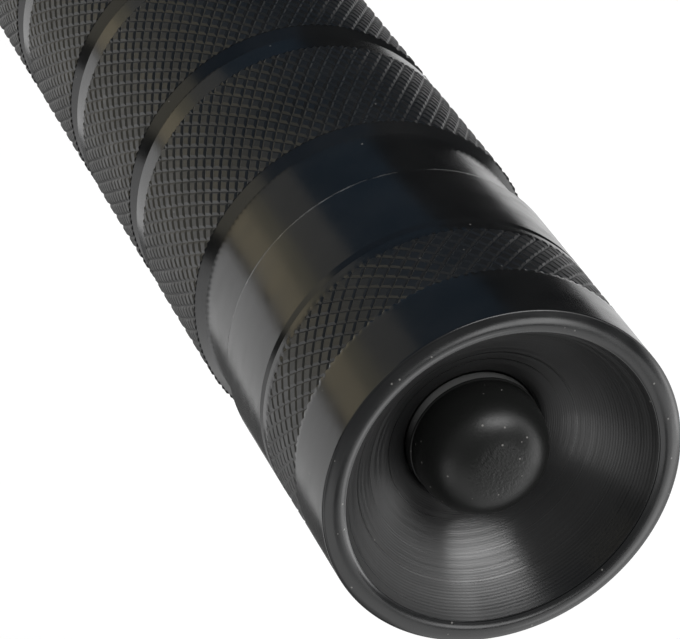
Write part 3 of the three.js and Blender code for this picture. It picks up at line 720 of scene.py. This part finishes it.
head = turn("head_housing_turned", [
    (head_mouth, bell_front),
    (bell_radius, bell_front),
    *ribs(BELL_GROOVES, BELL_GROOVE, bell_radius, bell_radius - BELL_GROOVE_DEPTH),
    (bell_radius, BELL_BACK),
    (fin_radius, cone_end),
    (fin_root, cone_end),
    *ribs([fins_start + 2 * FIN * i for i in range(FIN_COUNT)], FIN, fin_root, fin_radius),
    (fin_root, fins_end + FIN),
    (collar, fins_end + FIN),
    (collar, head_back - COLLAR_STEP),
    (collar - COLLAR_STEP, head_back),
    (socket_radius, head_back),
    (socket_radius, tube_front),
    (pill_seat, tube_front),
    (pill_seat, cone_end),
    (bezel_bore, BELL_BACK),
    (bezel_bore, mouth_end),
    (head_mouth, mouth_end),
    (head_mouth, bell_front),
], sides=HEAD_SIDES, edge=HEAD_EDGE)
bezel_lip = lens_radius - BEZEL_LIP_WIDTH
bezel = turn("bezel_ring_turned", [
    (bezel_lip, BEZEL_BEVEL),
    (bezel_lip + BEZEL_BEVEL, 0),
    (bell_radius - BEZEL_BEVEL, 0),
    (bell_radius, BEZEL_BEVEL),
    (bell_radius, BEZEL_HEIGHT),
    (bezel_thread_radius, BEZEL_HEIGHT),
    (bezel_thread_radius, BEZEL_HEIGHT + BEZEL_THREAD),
    (bezel_bore, BEZEL_HEIGHT + BEZEL_THREAD),
    (bezel_bore, BEZEL_LIP),
    (bezel_lip, BEZEL_LIP),
    (bezel_lip, BEZEL_BEVEL),
], sides=HEAD_SIDES, edge=HEAD_EDGE)
report(head)
report(bezel)

# %% [markdown]
# ## Lens, lens seal and reflector
# The lens is a flat glass disc with a ground edge, pressed against the reflector by a rubber seal. The
# reflector is a thin paraboloid: its profile is a formula, stepped finely so that the mirror shows no facets.

# %% Lens, lens seal and reflector
LENS_EDGE = 0.35
SEAL_WIDTH = 1.2
SEAL_EDGE = 0.3
FOCAL_LENGTH = 2.9
MIRROR_STEPS = 40
REFLECTOR_RIM = 1.4
REFLECTOR_FLANGE = 1.5
REFLECTOR_WALL = 1.6
REFLECTOR_HOLE = 5.4
BOSS_RADIUS = 9.5

seal_low, seal_high, _ = reach("lens_seal")
reflector_front, reflector_back, _ = reach("reflector")
mirror_mouth = lens_radius - REFLECTOR_RIM
mirror_vertex = reflector_front + mirror_mouth ** 2 / (4 * FOCAL_LENGTH)
flange_back = reflector_front + REFLECTOR_FLANGE


def mirror_level(radius):
    """Level of the mirror at a radius."""
    return mirror_vertex - radius ** 2 / (4 * FOCAL_LENGTH)


lens = turn("front_lens_ground", [
    (0, lens_low),
    (lens_radius, lens_low),
    (lens_radius, lens_high),
    (0, lens_high),
], sides=HEAD_SIDES, edge=LENS_EDGE)
seal = turn("lens_seal_moulded", [
    (lens_radius - SEAL_WIDTH, seal_low),
    (lens_radius, seal_low),
    (lens_radius, seal_high),
    (lens_radius - SEAL_WIDTH, seal_high),
    (lens_radius - SEAL_WIDTH, seal_low),
], edge=SEAL_EDGE)
mirror_step = (mirror_mouth - REFLECTOR_HOLE) / MIRROR_STEPS
mirror_radii = [REFLECTOR_HOLE + mirror_step * step for step in range(MIRROR_STEPS + 1)]
mirror_face = [(radius, mirror_level(radius)) for radius in mirror_radii]
mirror_back = [
    (radius + REFLECTOR_WALL, level) for radius, level in reversed(mirror_face)
    if level > flange_back and radius + REFLECTOR_WALL > BOSS_RADIUS
]
reflector = turn("reflector_plated", [
    (mirror_mouth, reflector_front),
    (lens_radius, reflector_front),
    (lens_radius, flange_back),
    *mirror_back,
    (BOSS_RADIUS, mirror_level(BOSS_RADIUS - REFLECTOR_WALL)),
    (BOSS_RADIUS, reflector_back),
    (REFLECTOR_HOLE, reflector_back),
    *mirror_face,
], sides=HEAD_SIDES)
for piece in (lens, seal, reflector):
    report(piece)

# %% [markdown]
# ## Light-emitting diode
# Behind the lens sits a small square package with a clear dome over a yellow phosphor. The package is a cube
# whose corners are bevelled, and its front face is inset so that the dome stands in a shallow step.

# %% Light-emitting diode
LED_WIDTH = 5.0
LED_BASE = 1.3
LED_CORNER = 0.4
LED_FRAME = 0.2
LED_STEP = 0.1
LED_STEP_LEAN = 0.05
LED_DOME_SINK = 0.08
LED_DOME_STEPS = 15

led_low, led_high, _ = reach("led_emitter")
led_front = led_high - LED_BASE
dome_reach = led_front - led_low
bpy.ops.mesh.primitive_cube_add(size=1, location=(0, 0, (led_front + led_high) / 2 * MM))
led = bpy.context.object
led.name = "led_package"
led.scale = (LED_WIDTH * MM, LED_WIDTH * MM, LED_BASE * MM)
bpy.ops.object.transform_apply()
bpy.ops.object.mode_set(mode="EDIT")
pick("EDGE", lambda edge: abs(edge.verts[0].co.z - edge.verts[1].co.z) > LED_BASE / 2 * MM)
bpy.ops.mesh.bevel(offset=LED_CORNER * MM, segments=3, affect="EDGES")
pick("FACE", lambda face: face.normal.z < -0.9)
bpy.ops.mesh.inset(thickness=LED_FRAME * MM, depth=0)
bpy.ops.mesh.inset(thickness=LED_STEP_LEAN * MM, depth=-LED_STEP * MM)
close_mesh()
led_dome = turn("led_dome", [
    *arc((0, led_front), dome_reach, -90, 0, LED_DOME_STEPS),
    (dome_reach, led_front + LED_DOME_SINK),
    (0, led_front + LED_DOME_SINK),
], sides=48)
report(led)
report(led_dome)

# %% [markdown]
# ## Riding on the bodies
# A piece that stands for a solid takes its place, and a rigid one moves with its body. The boot and two of the
# springs are soft: each is only fixed in place where it stands, and its solid is hidden.

# %% Bodies, replaced solids and slots
RIGID = [
    (tube, "battery_tube", "black_anodised_aluminium"),
    (cap, "tail_cap", "black_anodised_aluminium"),
    (tail_o_ring, "tail_o_ring", "black_rubber"),
    (head_o_ring, "head_o_ring", "black_rubber"),
    (driver_spring, "driver_contact_spring", "spring_steel"),
    (head, "head_housing", "black_anodised_aluminium"),
    (bezel, "bezel_ring", "black_anodised_aluminium"),
    (lens, "front_lens", "clear_glass"),
    (seal, "lens_seal", "black_rubber"),
    (reflector, "reflector", "mirror_reflector"),
    (led, "led_emitter", "white_plastic"),
    (led_dome, "led_emitter", "emitter"),
]
for piece, node, slot in RIGID:
    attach(piece, "tail_cap" if piece is cap else "flashlight_body")
    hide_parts(node)
SOFT = [
    (boot, "rubber_boot", "black_rubber", "tail_cap", "button", dish_floor, boot_top - BOOT_WALL),
    (tail_spring, "tail_spring", "spring_steel", "flashlight_body", "tail_contact", tail_low, tail_high),
    (return_spring, "switch_return_spring", "spring_steel", "tail_cap", "button", return_low, return_high),
]
for piece, node, slot, still, moving, start, end in SOFT:
    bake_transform(piece)
    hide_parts(node)
print(len(RIGID), "rigid pieces ride and", len(SOFT), "soft ones blend")

# %% [markdown]
# ## Node tools for finishes
# Every finish is a Principled shader with a few procedural layers. These helpers add a node, read Object
# coordinates stretched by a Mapping node, and feed noise into a colour, a roughness or a bump. Scales are in
# features per metre, and noise mostly stays within SPREAD.

# %% Node tools
SPREAD = (0.3, 0.7)
PATCH_SPREAD = (0.35, 0.65)


def new_finish(name, **constants):
    """A node material with these constants set on its shader."""
    finish = bpy.data.materials.new(name)
    finish.use_nodes = True
    shader = finish.node_tree.nodes["Principled BSDF"]
    for socket, value in constants.items():
        shader.inputs[socket.replace("_", " ").title().replace("Ior", "IOR")].default_value = value
    return finish, finish.node_tree, shader


def add_node(tree, kind, inputs=(), **settings):
    """A new node with settings, and inputs as (socket, value or output) pairs."""
    node = tree.nodes.new(kind)
    for setting, value in settings.items():
        setattr(node, setting, value)
    for socket, value in inputs:
        if isinstance(value, bpy.types.NodeSocket):
            tree.links.new(value, node.inputs[socket])
        else:
            node.inputs[socket].default_value = value
    return node


def place(tree, scale):
    """Object coordinates stretched by a scale along X, Y and Z."""
    coordinates = add_node(tree, "ShaderNodeTexCoord")
    inputs = [("Vector", coordinates.outputs["Object"]), ("Scale", scale)]
    return add_node(tree, "ShaderNodeMapping", inputs).outputs["Vector"]


def noise(tree, scale, detail=3.0, roughness=0.5):
    """Noise value on stretched Object coordinates."""
    inputs = [("Vector", place(tree, scale)), ("Scale", 1.0), ("Detail", detail), ("Roughness", roughness)]
    return add_node(tree, "ShaderNodeTexNoise", inputs).outputs["Fac"]


def remap(tree, value, low, high, to_low, to_high):
    """A value taken from one range to another and held there."""
    sockets = ("Value", "From Min", "From Max", "To Min", "To Max")
    inputs = zip(sockets, (value, low, high, to_low, to_high))
    return add_node(tree, "ShaderNodeMapRange", inputs).outputs["Result"]


def combine(tree, operation, first, second):
    """One number from two."""
    inputs = [(0, first), (1, second)]
    return add_node(tree, "ShaderNodeMath", inputs, operation=operation).outputs["Value"]


def tint(tree, share, first, second):
    """A colour between two, by a share."""
    node = add_node(tree, "ShaderNodeMix", data_type="RGBA")
    tree.links.new(share, node.inputs["Factor"])
    for socket, colour in (("A", first), ("B", second)):
        target = next(i for i in node.inputs if i.name == socket and i.type == "RGBA")
        if isinstance(colour, bpy.types.NodeSocket):
            tree.links.new(colour, target)
        else:
            target.default_value = (*colour, 1)
    return next(o for o in node.outputs if o.type == "RGBA")


def bump(tree, height, depth, strength=1.0, under=None):
    """A bump of a depth in millimetres, on top of another one."""
    inputs = [("Height", height), ("Distance", depth * MM), ("Strength", strength)]
    if under:
        inputs.append(("Normal", under))
    return add_node(tree, "ShaderNodeBump", inputs).outputs["Normal"]


def specks(tree, cell, size, share):
    """Dust: small dots of a size, in a share of the cells of a loose grid, in millimetres."""
    per_metre = 1 / (cell * MM)
    inputs = [("Vector", place(tree, (per_metre,) * 3)), ("Scale", 1.0)]
    cells = add_node(tree, "ShaderNodeTexVoronoi", inputs)
    dot = remap(tree, cells.outputs["Distance"], size / cell * 0.5, size / cell, 1, 0)
    chosen = combine(tree, "GREATER_THAN", cells.outputs["Color"], 1 - share)
    return combine(tree, "MULTIPLY", dot, chosen)


def link(tree, shader, **outputs):
    """Links outputs to the shader's sockets."""
    for socket, output in outputs.items():
        tree.links.new(output, shader.inputs[socket.replace("_", " ").title()])


print("node tools ready")

# %% [markdown]
# ## Black anodised aluminium
# Anodising leaves a hard dyed layer that reflects like glass over black. The lathe's marks run round the piece,
# so the noise is stretched that way and only a few micrometres deep. Patchy gloss, dust and hair-fine
# scratches keep it from looking like paint. Knurling has less gloss, the rim has more, and where edges rub,
# bare metal shows in patches.

# %% Black anodised aluminium
BLACK = (0.0065, 0.007, 0.0075)
FADED_BLACK = (0.011, 0.0115, 0.012)
BARE = (0.5, 0.5, 0.49)
DUST = (0.2, 0.195, 0.185)
DUST_SIZE = 0.12
DUST_GRID = (1.4, 0.24)
RIM_NICKS = (0.8, 0.35)
FADING = (160, 160, 160)
GLOSS_PATCHES = (300, 300, 500)
LATHE_MARKS = (60, 60, 9000)
SCRATCHES = (900, 900, 120)
RUBBED_SPOTS = (500, 500, 900)
MARK_DEPTH = 0.002
SCRATCH_STRENGTH = 0.3


def dusty(tree, colour, other, grid=DUST_GRID):
    """A colour that wanders to another, with dust on a grid of a cell and a share."""
    cell, share = grid
    patches = remap(tree, noise(tree, FADING), *PATCH_SPREAD, 0, 1)
    return tint(tree, specks(tree, cell, DUST_SIZE, share), tint(tree, patches, colour, other), DUST)


def anodised(name, gloss, ior=1.5, nicks=DUST_GRID):
    """Black anodised finish between two roughnesses, with pale nicks and dust."""
    finish, tree, shader = new_finish(name, ior=ior)
    rough = remap(tree, noise(tree, GLOSS_PATCHES), *SPREAD, *gloss)
    turned = bump(tree, noise(tree, LATHE_MARKS, detail=4), MARK_DEPTH)
    scratched = remap(tree, noise(tree, SCRATCHES, detail=2), 0.62, 0.72, 0, 1)
    marked = bump(tree, scratched, MARK_DEPTH, SCRATCH_STRENGTH, turned)
    link(tree, shader, base_color=dusty(tree, BLACK, FADED_BLACK, nicks), roughness=rough, normal=marked)
    return finish


def worn_edge():
    """Black anodised finish that is rubbed through in patches."""
    finish, tree, shader = new_finish("worn_edge", ior=1.5)
    bare = remap(tree, noise(tree, RUBBED_SPOTS, detail=5, roughness=0.7), 0.45, 0.65, 0.0, 0.25)
    colour = tint(tree, bare, dusty(tree, BLACK, FADED_BLACK), BARE)
    link(tree, shader, base_color=colour, metallic=bare, roughness=remap(tree, bare, 0, 1, 0.25, 0.4))
    return finish


black_anodised = anodised("black_anodised", (0.17, 0.25))
knurl_finish = anodised("black_anodised_knurl", (0.4, 0.52))
rim_finish = anodised("black_anodised_rim", (0.17, 0.25), ior=1.65, nicks=RIM_NICKS)
edge_finish = worn_edge()
print("finishes:", black_anodised.name, knurl_finish.name, rim_finish.name, edge_finish.name)

# %% [markdown]
# ## The dish
# The dish was turned with a coarser feed, and its rings run about the axis. Their fine part is an anisotropic
# gloss with a tangent round the axis, which draws every light out into a fan. Their coarse part is a bump from
# a wave of rings, in steps of about a sixth of a millimetre, and a gloss that changes from ring to ring.

# %% Finish of the dish
RING_PITCH = 0.17
RING_DEPTH = 0.0055
RING_GLOSS = (20, 20, 4500)
DISH_ROUGHNESS = (0.25, 0.42)
DISH_BLACK = (0.0035, 0.0038, 0.004)
DISH_FADED = (0.006, 0.0062, 0.0064)
WAVES_PER_UNIT = 20 / math.tau


def turned_dish():
    """Black anodised finish with rings about the axis."""
    finish, tree, shader = new_finish(
        "black_anodised_dish", ior=1.7, anisotropic=0.85, anisotropic_rotation=0.25
    )
    inputs = [
        ("Vector", place(tree, (1, 1, 1))),
        ("Scale", 1 / (RING_PITCH * MM * WAVES_PER_UNIT)),
        ("Distortion", 1.5),
        ("Detail", 1.0),
        ("Detail Scale", 0.2),
    ]
    rings = add_node(tree, "ShaderNodeTexWave", inputs, wave_type="RINGS", rings_direction="Z")
    round_axis = add_node(tree, "ShaderNodeTangent", direction_type="RADIAL", axis="Z")
    link(
        tree,
        shader,
        base_color=dusty(tree, DISH_BLACK, DISH_FADED),
        roughness=remap(tree, noise(tree, RING_GLOSS, detail=3), *SPREAD, *DISH_ROUGHNESS),
        tangent=round_axis.outputs["Tangent"],
        normal=bump(tree, rings.outputs["Fac"], RING_DEPTH),
    )
    return finish


dish_finish = turned_dish()
print("finish:", dish_finish.name)

# %% [markdown]
# ## Rubber, steel, glass and the rest
# The other finishes follow the same pattern with fewer layers. Moulded rubber has a fine grain, and the boot's
# crown has a coarser one for grip. Rubber is painted lighter on the side that faces -Y, where the light falls,
# and the boot's collar is painted pale there as its lit crescent. Drawn wire, plastics and boards have a faint
# mottle, and the mirror has a very slight waviness.

# %% Other finishes


def mottled(name, colour, other, grain, rough, depth=0.004, **constants):
    """A finish that wanders between two colours and two roughnesses, with a fine grain in millimetres."""
    finish, tree, shader = new_finish(name, **constants)
    per_metre = 1 / (grain * MM)
    patches = remap(tree, noise(tree, (per_metre / 8,) * 3), *PATCH_SPREAD, 0, 1)
    fine = noise(tree, (per_metre,) * 3)
    link(
        tree,
        shader,
        base_color=tint(tree, patches, colour, other),
        roughness=remap(tree, fine, *SPREAD, *rough),
        normal=bump(tree, fine, depth),
    )
    return finish


GRAIN_REACH = (2.3, 3.3)
GRAIN_DEPTH = 0.025
GRAINS = (4200, 2800, 3400)
PORES = (7000, 7000, 7000)
PORE_DEPTH = 0.008
RUBBER_DUST = (1.0, 0.45)
# Painted light: rubber turns to its second colour on the side that faces this way, between these distances in
# millimetres.
LIT_SIDE = (-0.34, -0.94, 0)
LIT_SIDE_REACH = (2.0, 5.2)


def grip_grain(tree):
    """Coarse grain that fades out at a distance from the axis."""
    inputs = [(0, place(tree, (1 / MM, 1 / MM, 0)))]
    from_axis = add_node(tree, "ShaderNodeVectorMath", inputs, operation="LENGTH")
    patch = remap(tree, from_axis.outputs["Value"], *GRAIN_REACH, 1, 0)
    grains = remap(tree, noise(tree, GRAINS, detail=1.5), *SPREAD, 0, 1)
    return combine(tree, "MULTIPLY", patch, grains)


def moulded_rubber(name, colour, other, gloss):
    """Rubber with a fine grain, dust, a gloss between two roughnesses, and a painted lighter side that faces
    -Y.
    """
    finish, tree, shader = new_finish(name, ior=1.4)
    inputs = [(0, place(tree, (1 / MM,) * 3)), (1, LIT_SIDE)]
    side = add_node(tree, "ShaderNodeVectorMath", inputs, operation="DOT_PRODUCT")
    painted_lit_side = remap(tree, side.outputs["Value"], *LIT_SIDE_REACH, 0, 1)
    fine = noise(tree, PORES, detail=2)
    cell, share = RUBBER_DUST
    link(
        tree,
        shader,
        base_color=tint(tree, specks(tree, cell, DUST_SIZE, share), tint(tree, painted_lit_side, colour, other), DUST),
        roughness=remap(tree, fine, *SPREAD, *gloss),
        normal=bump(tree, fine, PORE_DEPTH, under=bump(tree, grip_grain(tree), GRAIN_DEPTH)),
    )
    return finish


# Both rubbers are painted lighter on their lit side; the collar's pale rubber is a painted highlight, the lit
# crescent of the collar.
boot_rubber = moulded_rubber("boot_rubber", (0.007, 0.0075, 0.007), (0.009, 0.0095, 0.009), (0.3, 0.42))
painted_lit_collar_rubber = moulded_rubber("painted_lit_collar_rubber", (0.02, 0.0205, 0.02), (0.19, 0.192, 0.19), (0.5, 0.6))

MOTTLED = {
    "bare_aluminium": ((0.58, 0.59, 0.6), (0.66, 0.67, 0.68), 0.3, (0.28, 0.4)),
    "mirror_reflector": ((0.86, 0.87, 0.88), (0.9, 0.91, 0.92), 2.5, (0.04, 0.07)),
    "spring_steel": ((0.5, 0.51, 0.53), (0.6, 0.61, 0.62), 0.2, (0.22, 0.36)),
    "brass": ((0.56, 0.4, 0.14), (0.64, 0.47, 0.19), 0.3, (0.28, 0.4)),
    "black_plastic": ((0.025, 0.025, 0.027), (0.035, 0.035, 0.037), 0.15, (0.45, 0.6)),
    "white_plastic": ((0.76, 0.75, 0.71), (0.82, 0.81, 0.77), 0.2, (0.4, 0.55)),
    "circuit_board": ((0.02, 0.1, 0.05), (0.035, 0.14, 0.07), 0.4, (0.35, 0.5)),
    "white_circuit_board": ((0.72, 0.72, 0.69), (0.78, 0.78, 0.75), 0.4, (0.35, 0.5)),
    "emitter": ((0.72, 0.56, 0.1), (0.8, 0.65, 0.15), 0.3, (0.15, 0.25)),
    "cell_wrap": ((0.045, 0.12, 0.28), (0.055, 0.14, 0.32), 1.0, (0.3, 0.4)),
    "red_wire": ((0.36, 0.025, 0.025), (0.44, 0.035, 0.035), 0.2, (0.4, 0.5)),
    "black_wire": ((0.018, 0.018, 0.018), (0.024, 0.024, 0.024), 0.2, (0.4, 0.5)),
}
METALS = ("bare_aluminium", "mirror_reflector", "spring_steel", "brass")
GLASS = ("clear_glass", (0.95, 0.98, 0.97), (0.97, 0.99, 0.99), 4.0, (0.0, 0.02), 0.0005)
FINISHES = {slot: mottled(slot, *look, metallic=float(slot in METALS)) for slot, look in MOTTLED.items()}
FINISHES["clear_glass"] = mottled(*GLASS, transmission_weight=1.0)
FINISHES["black_anodised_aluminium"] = black_anodised
FINISHES["black_rubber"] = boot_rubber
print(len(FINISHES), "finishes")

# %% [markdown]
# ## Dressing the pieces
# A modelled piece takes the finish of its slot, and a carried-over solid takes the finish that the record
# names for it. Further finishes then go on chosen faces: the knurling, the dish, the edges that rub, and the
# boot's collar, which is painted pale as its lit crescent.

# %% Assign the finishes


def dress(piece, finish):
    """Gives a piece one finish."""
    piece.data.materials.clear()
    piece.data.materials.append(finish)


def paint(piece, finish, wanted):
    """Gives a further finish to the faces whose radius and level are wanted."""
    piece.data.materials.append(finish)
    painted = 0
    for face in piece.data.polygons:
        if wanted(face.center.xy.length / MM, face.center.z / MM):
            face.material_index = len(piece.data.materials) - 1
            painted += 1
    print(f"{painted} faces of {piece.name} in {finish.name}")


for piece, _, slot in RIGID:
    dress(piece, FINISHES[slot])
for piece, _, slot, *_ in SOFT:
    dress(piece, FINISHES[slot])
for subpart in frame["record"]["subparts"]:
    dress(frame["nodes"][subpart["node"]], FINISHES[subpart["material_slot"]])

knurl_root = plain_radius - TOOTH_CUT
knurl_span = (BAND_COUNT - 1) * BAND_PITCH + KNURL_LENGTH
paint(tube, knurl_finish, lambda radius, level: (
    radius > knurl_root
    and knurl_low < level < knurl_low + knurl_span
    and (level - knurl_low) % BAND_PITCH < KNURL_LENGTH
))
paint(cap, knurl_finish, lambda radius, level: (
    radius > cap_radius - 2 * CAP_CUT and cap_knurl_low < level < knurl_high
))
paint(cap, rim_finish, lambda radius, level: (
    ledge_radius < radius < cap_radius - RIM_CORNER and level > ledge_level
))
paint(cap, dish_finish, lambda radius, level: (
    BUTTON_HOLE < radius < ledge_radius and level > dish_floor - HOLE_EDGE
))
paint(cap, edge_finish, lambda radius, level: (
    radius > socket_radius and seam_break[-1][1] < level < seam_break[0][1]
))
# Painted highlight: the collar's outer wall is painted pale as its lit crescent.
paint(boot, painted_lit_collar_rubber, lambda radius, level: (
    radius > dome_radius and dish_floor < level < collar_top - COLLAR_EDGE
))

# %% [markdown]
# ## Floor and world
# The floor is a wide pale sheet. Seen directly, and in gloss and glass, it glows a little on top of the light
# that falls on it, which takes it to white and leaves the shadow. The world is plain white where it is seen
# and softer as a light.

# %% Floor and world
FLOOR_SIZE = 6.0
FLOOR_COLOUR = 0.5
FLOOR_GLOW = 0.66
WORLD_LIGHT = 0.35
WORLD_SEEN = 1.0


def seen_directly(tree, amount):
    """An amount for rays from the camera, in gloss or through glass, and 0 for the rest."""
    path = add_node(tree, "ShaderNodeLightPath")
    seen = path.outputs["Is Camera Ray"]
    for other in ("Is Glossy Ray", "Is Transmission Ray"):
        seen = combine(tree, "MAXIMUM", seen, path.outputs[other])
    return combine(tree, "MULTIPLY", seen, amount)


bpy.ops.mesh.primitive_plane_add(size=FLOOR_SIZE)
floor = bpy.context.object
floor.name = "floor"
paper, tree, lit = new_finish("pale_paper", base_color=(*[FLOOR_COLOUR] * 3, 1), roughness=0.9)
glow = add_node(tree, "ShaderNodeEmission", [("Strength", seen_directly(tree, FLOOR_GLOW))])
both = add_node(tree, "ShaderNodeAddShader", [(0, lit.outputs[0]), (1, glow.outputs[0])])
tree.links.new(both.outputs[0], tree.nodes["Material Output"].inputs["Surface"])
dress(floor, paper)

world = bpy.data.worlds.new("studio")
world.use_nodes = True
bpy.context.scene.world = world
sky = world.node_tree.nodes["Background"]
sky.inputs["Color"].default_value = (1, 1, 1, 1)
extra = seen_directly(world.node_tree, WORLD_SEEN - WORLD_LIGHT)
strength = combine(world.node_tree, "ADD", extra, WORLD_LIGHT)
world.node_tree.links.new(strength, sky.inputs["Strength"])
print("floor and world ready")

# %% [markdown]
# ## Painted reflections
# Black gloss shows whatever stands around it, so glowing sheets that only mirror-like reflections see stand
# round the object: they are painted reflections, and they give no light and cast no shadow. Sheets on the floor
# paint the stripes along the tube and the cap, and upright ones paint what shows in the ramps and the groove.
# Panels overhead, some dark and some bright, are centred on the tail and paint the reflections in the dish, the
# lip and the button.

# %% Painted reflections
REFLECTION_SHEET_LEVEL = 1.5
FLOOR_REACH = (45, 300)
OVERHEAD_DISTANCE = 1500
OVERHEAD_STEPS = 12
REFLECTION_SHEET_STEPS = 48


def painted_reflection_sheet(name, outline, start, end, colour):
    """Spins an outline from one azimuth to another as a glowing sheet of a colour that only gloss sees, a
    painted reflection; 0 faces -Y, 90 faces +X.
    """
    piece = draw(name, outline)
    bpy.ops.mesh.select_all(action="SELECT")
    bpy.ops.mesh.spin(steps=REFLECTION_SHEET_STEPS, angle=math.radians(start - end), center=(0, 0, 0), axis=(0, 0, 1))
    bpy.ops.object.mode_set(mode="OBJECT")
    piece.rotation_euler.z = math.radians(start - 90)
    bpy.ops.object.transform_apply()
    sheet, tree, _ = new_finish(name)
    glow = add_node(tree, "ShaderNodeEmission", [("Color", (*colour, 1))])
    tree.links.new(glow.outputs[0], tree.nodes["Material Output"].inputs["Surface"])
    dress(piece, sheet)
    # Seen only in glossy rays: the sheet is a painted reflection and gives no light.
    for kind in ("camera", "diffuse", "transmission", "shadow"):
        setattr(piece, "visible_" + kind, False)


# Painted reflections: glowing colours, bright and dark, that show only in gloss as the stripes on the tube and
# cap.
FLOOR_REFLECTION_SHEETS = [
    (122, 160, (0.12, 0.12, 0.12)),
    (56, 62, (0.06, 0.06, 0.06)),
    (35, 56, (0.9, 0.79, 0.56)),
    (23, 35, (0.5, 0.47, 0.36)),
    (-3, 23, (0.3, 0.3, 0.29)),
    (-58, -3, (0.045, 0.085, 0.135)),
    (-121, -58, (0.015, 0.015, 0.015)),
]
WALL_REFLECTION_SHEETS = [
    (62, 125, REFLECTION_SHEET_LEVEL, 195, (1.5, 1.5, 1.5)),
    (62, 150, 200, 255, (0.1, 0.1, 0.1)),
    (47, 62, REFLECTION_SHEET_LEVEL, 265, (0.01, 0.01, 0.01)),
    (12, 47, REFLECTION_SHEET_LEVEL, 265, (0.85, 0.8, 0.65)),
    (-50, 12, REFLECTION_SHEET_LEVEL, 265, (0.03, 0.08, 0.15)),
    (-116, -50, REFLECTION_SHEET_LEVEL, 255, (0.02, 0.02, 0.02)),
]
OVERHEAD_REFLECTION_SHEETS = [
    (-60, 65, 6, 18, 0.06),
    (-60, 20, 18, 62, 0.3),
    (20, 65, 18, 62, 0.25),
    (65, 150, 6, 16, 0.2),
    (65, 105, 16, 62, 0.4),
    (105, 150, 16, 30, 0.5),
    (-125, -60, 6, 30, 2.0),
    (-105, -60, 30, 62, 0.4),
    (-150, -105, 31, 60, 0.08),
    (-152, -125, 6, 31, 2.6),
    (150, 208, 53, 62, 0.1),
    (0, 360, 62, 89.9, 0.15),
]
for start, end, colour in FLOOR_REFLECTION_SHEETS:
    painted_reflection_sheet("floor_painted_reflection", [(distance, REFLECTION_SHEET_LEVEL) for distance in FLOOR_REACH], start, end, colour)
for start, end, low, high, colour in WALL_REFLECTION_SHEETS:
    painted_reflection_sheet("wall_painted_reflection", [(FLOOR_REACH[1], low), (FLOOR_REACH[1], high)], start, end, colour)
for start, end, low, high, grey in OVERHEAD_REFLECTION_SHEETS:
    painted_reflection_sheet("overhead_painted_reflection", arc((0, rim), OVERHEAD_DISTANCE, low, high, OVERHEAD_STEPS), start, end, (grey, grey, grey))
print(len(FLOOR_REFLECTION_SHEETS), "flags on the floor,", len(WALL_REFLECTION_SHEETS), "upright and", len(OVERHEAD_REFLECTION_SHEETS), "overhead")

# %% [markdown]
# ## Light
# Four oval soft boxes light the tail. A wide one stands high on the left of the camera and makes the highlight
# on the button and the large fan in the dish. A smaller one on the right makes the second fan, a large one
# behind lights the lip, and a small high one makes the glint on the near right of the rim.

# %% Lights
LIGHT_DISTANCE = 0.8
LIGHTS = [
    ("soft_box_left", -54, 39, 0.72, 0.32, 4.1),
    ("soft_box_right", 90, 34, 0.5, 0.36, 0.5),
    ("soft_box_back", -160, 30, 0.75, 0.3, 0.6),
    ("soft_box_high", -150, 65, 0.32, 0.22, 0.45),
]
tail = Vector((0, 0, rim * MM))
for light_name, azimuth, elevation, width, height, watts in LIGHTS:
    light_data = bpy.data.lights.new(light_name, "AREA")
    light_data.shape = "ELLIPSE"
    light_data.size = width
    light_data.size_y = height
    light_data.energy = watts
    light = bpy.data.objects.new(light_name, light_data)
    bpy.context.scene.collection.objects.link(light)
    raised = Matrix.Rotation(math.radians(-elevation), 3, "X") @ Vector((0, -LIGHT_DISTANCE, 0))
    light.location = tail + Matrix.Rotation(math.radians(azimuth), 3, "Z") @ raised
    light.rotation_euler = (tail - light.location).to_track_quat("-Z", "Y").to_euler()
    print(light_name, "at", [round(x, 2) for x in light.location])
bpy.context.scene.view_settings.view_transform = "Standard"
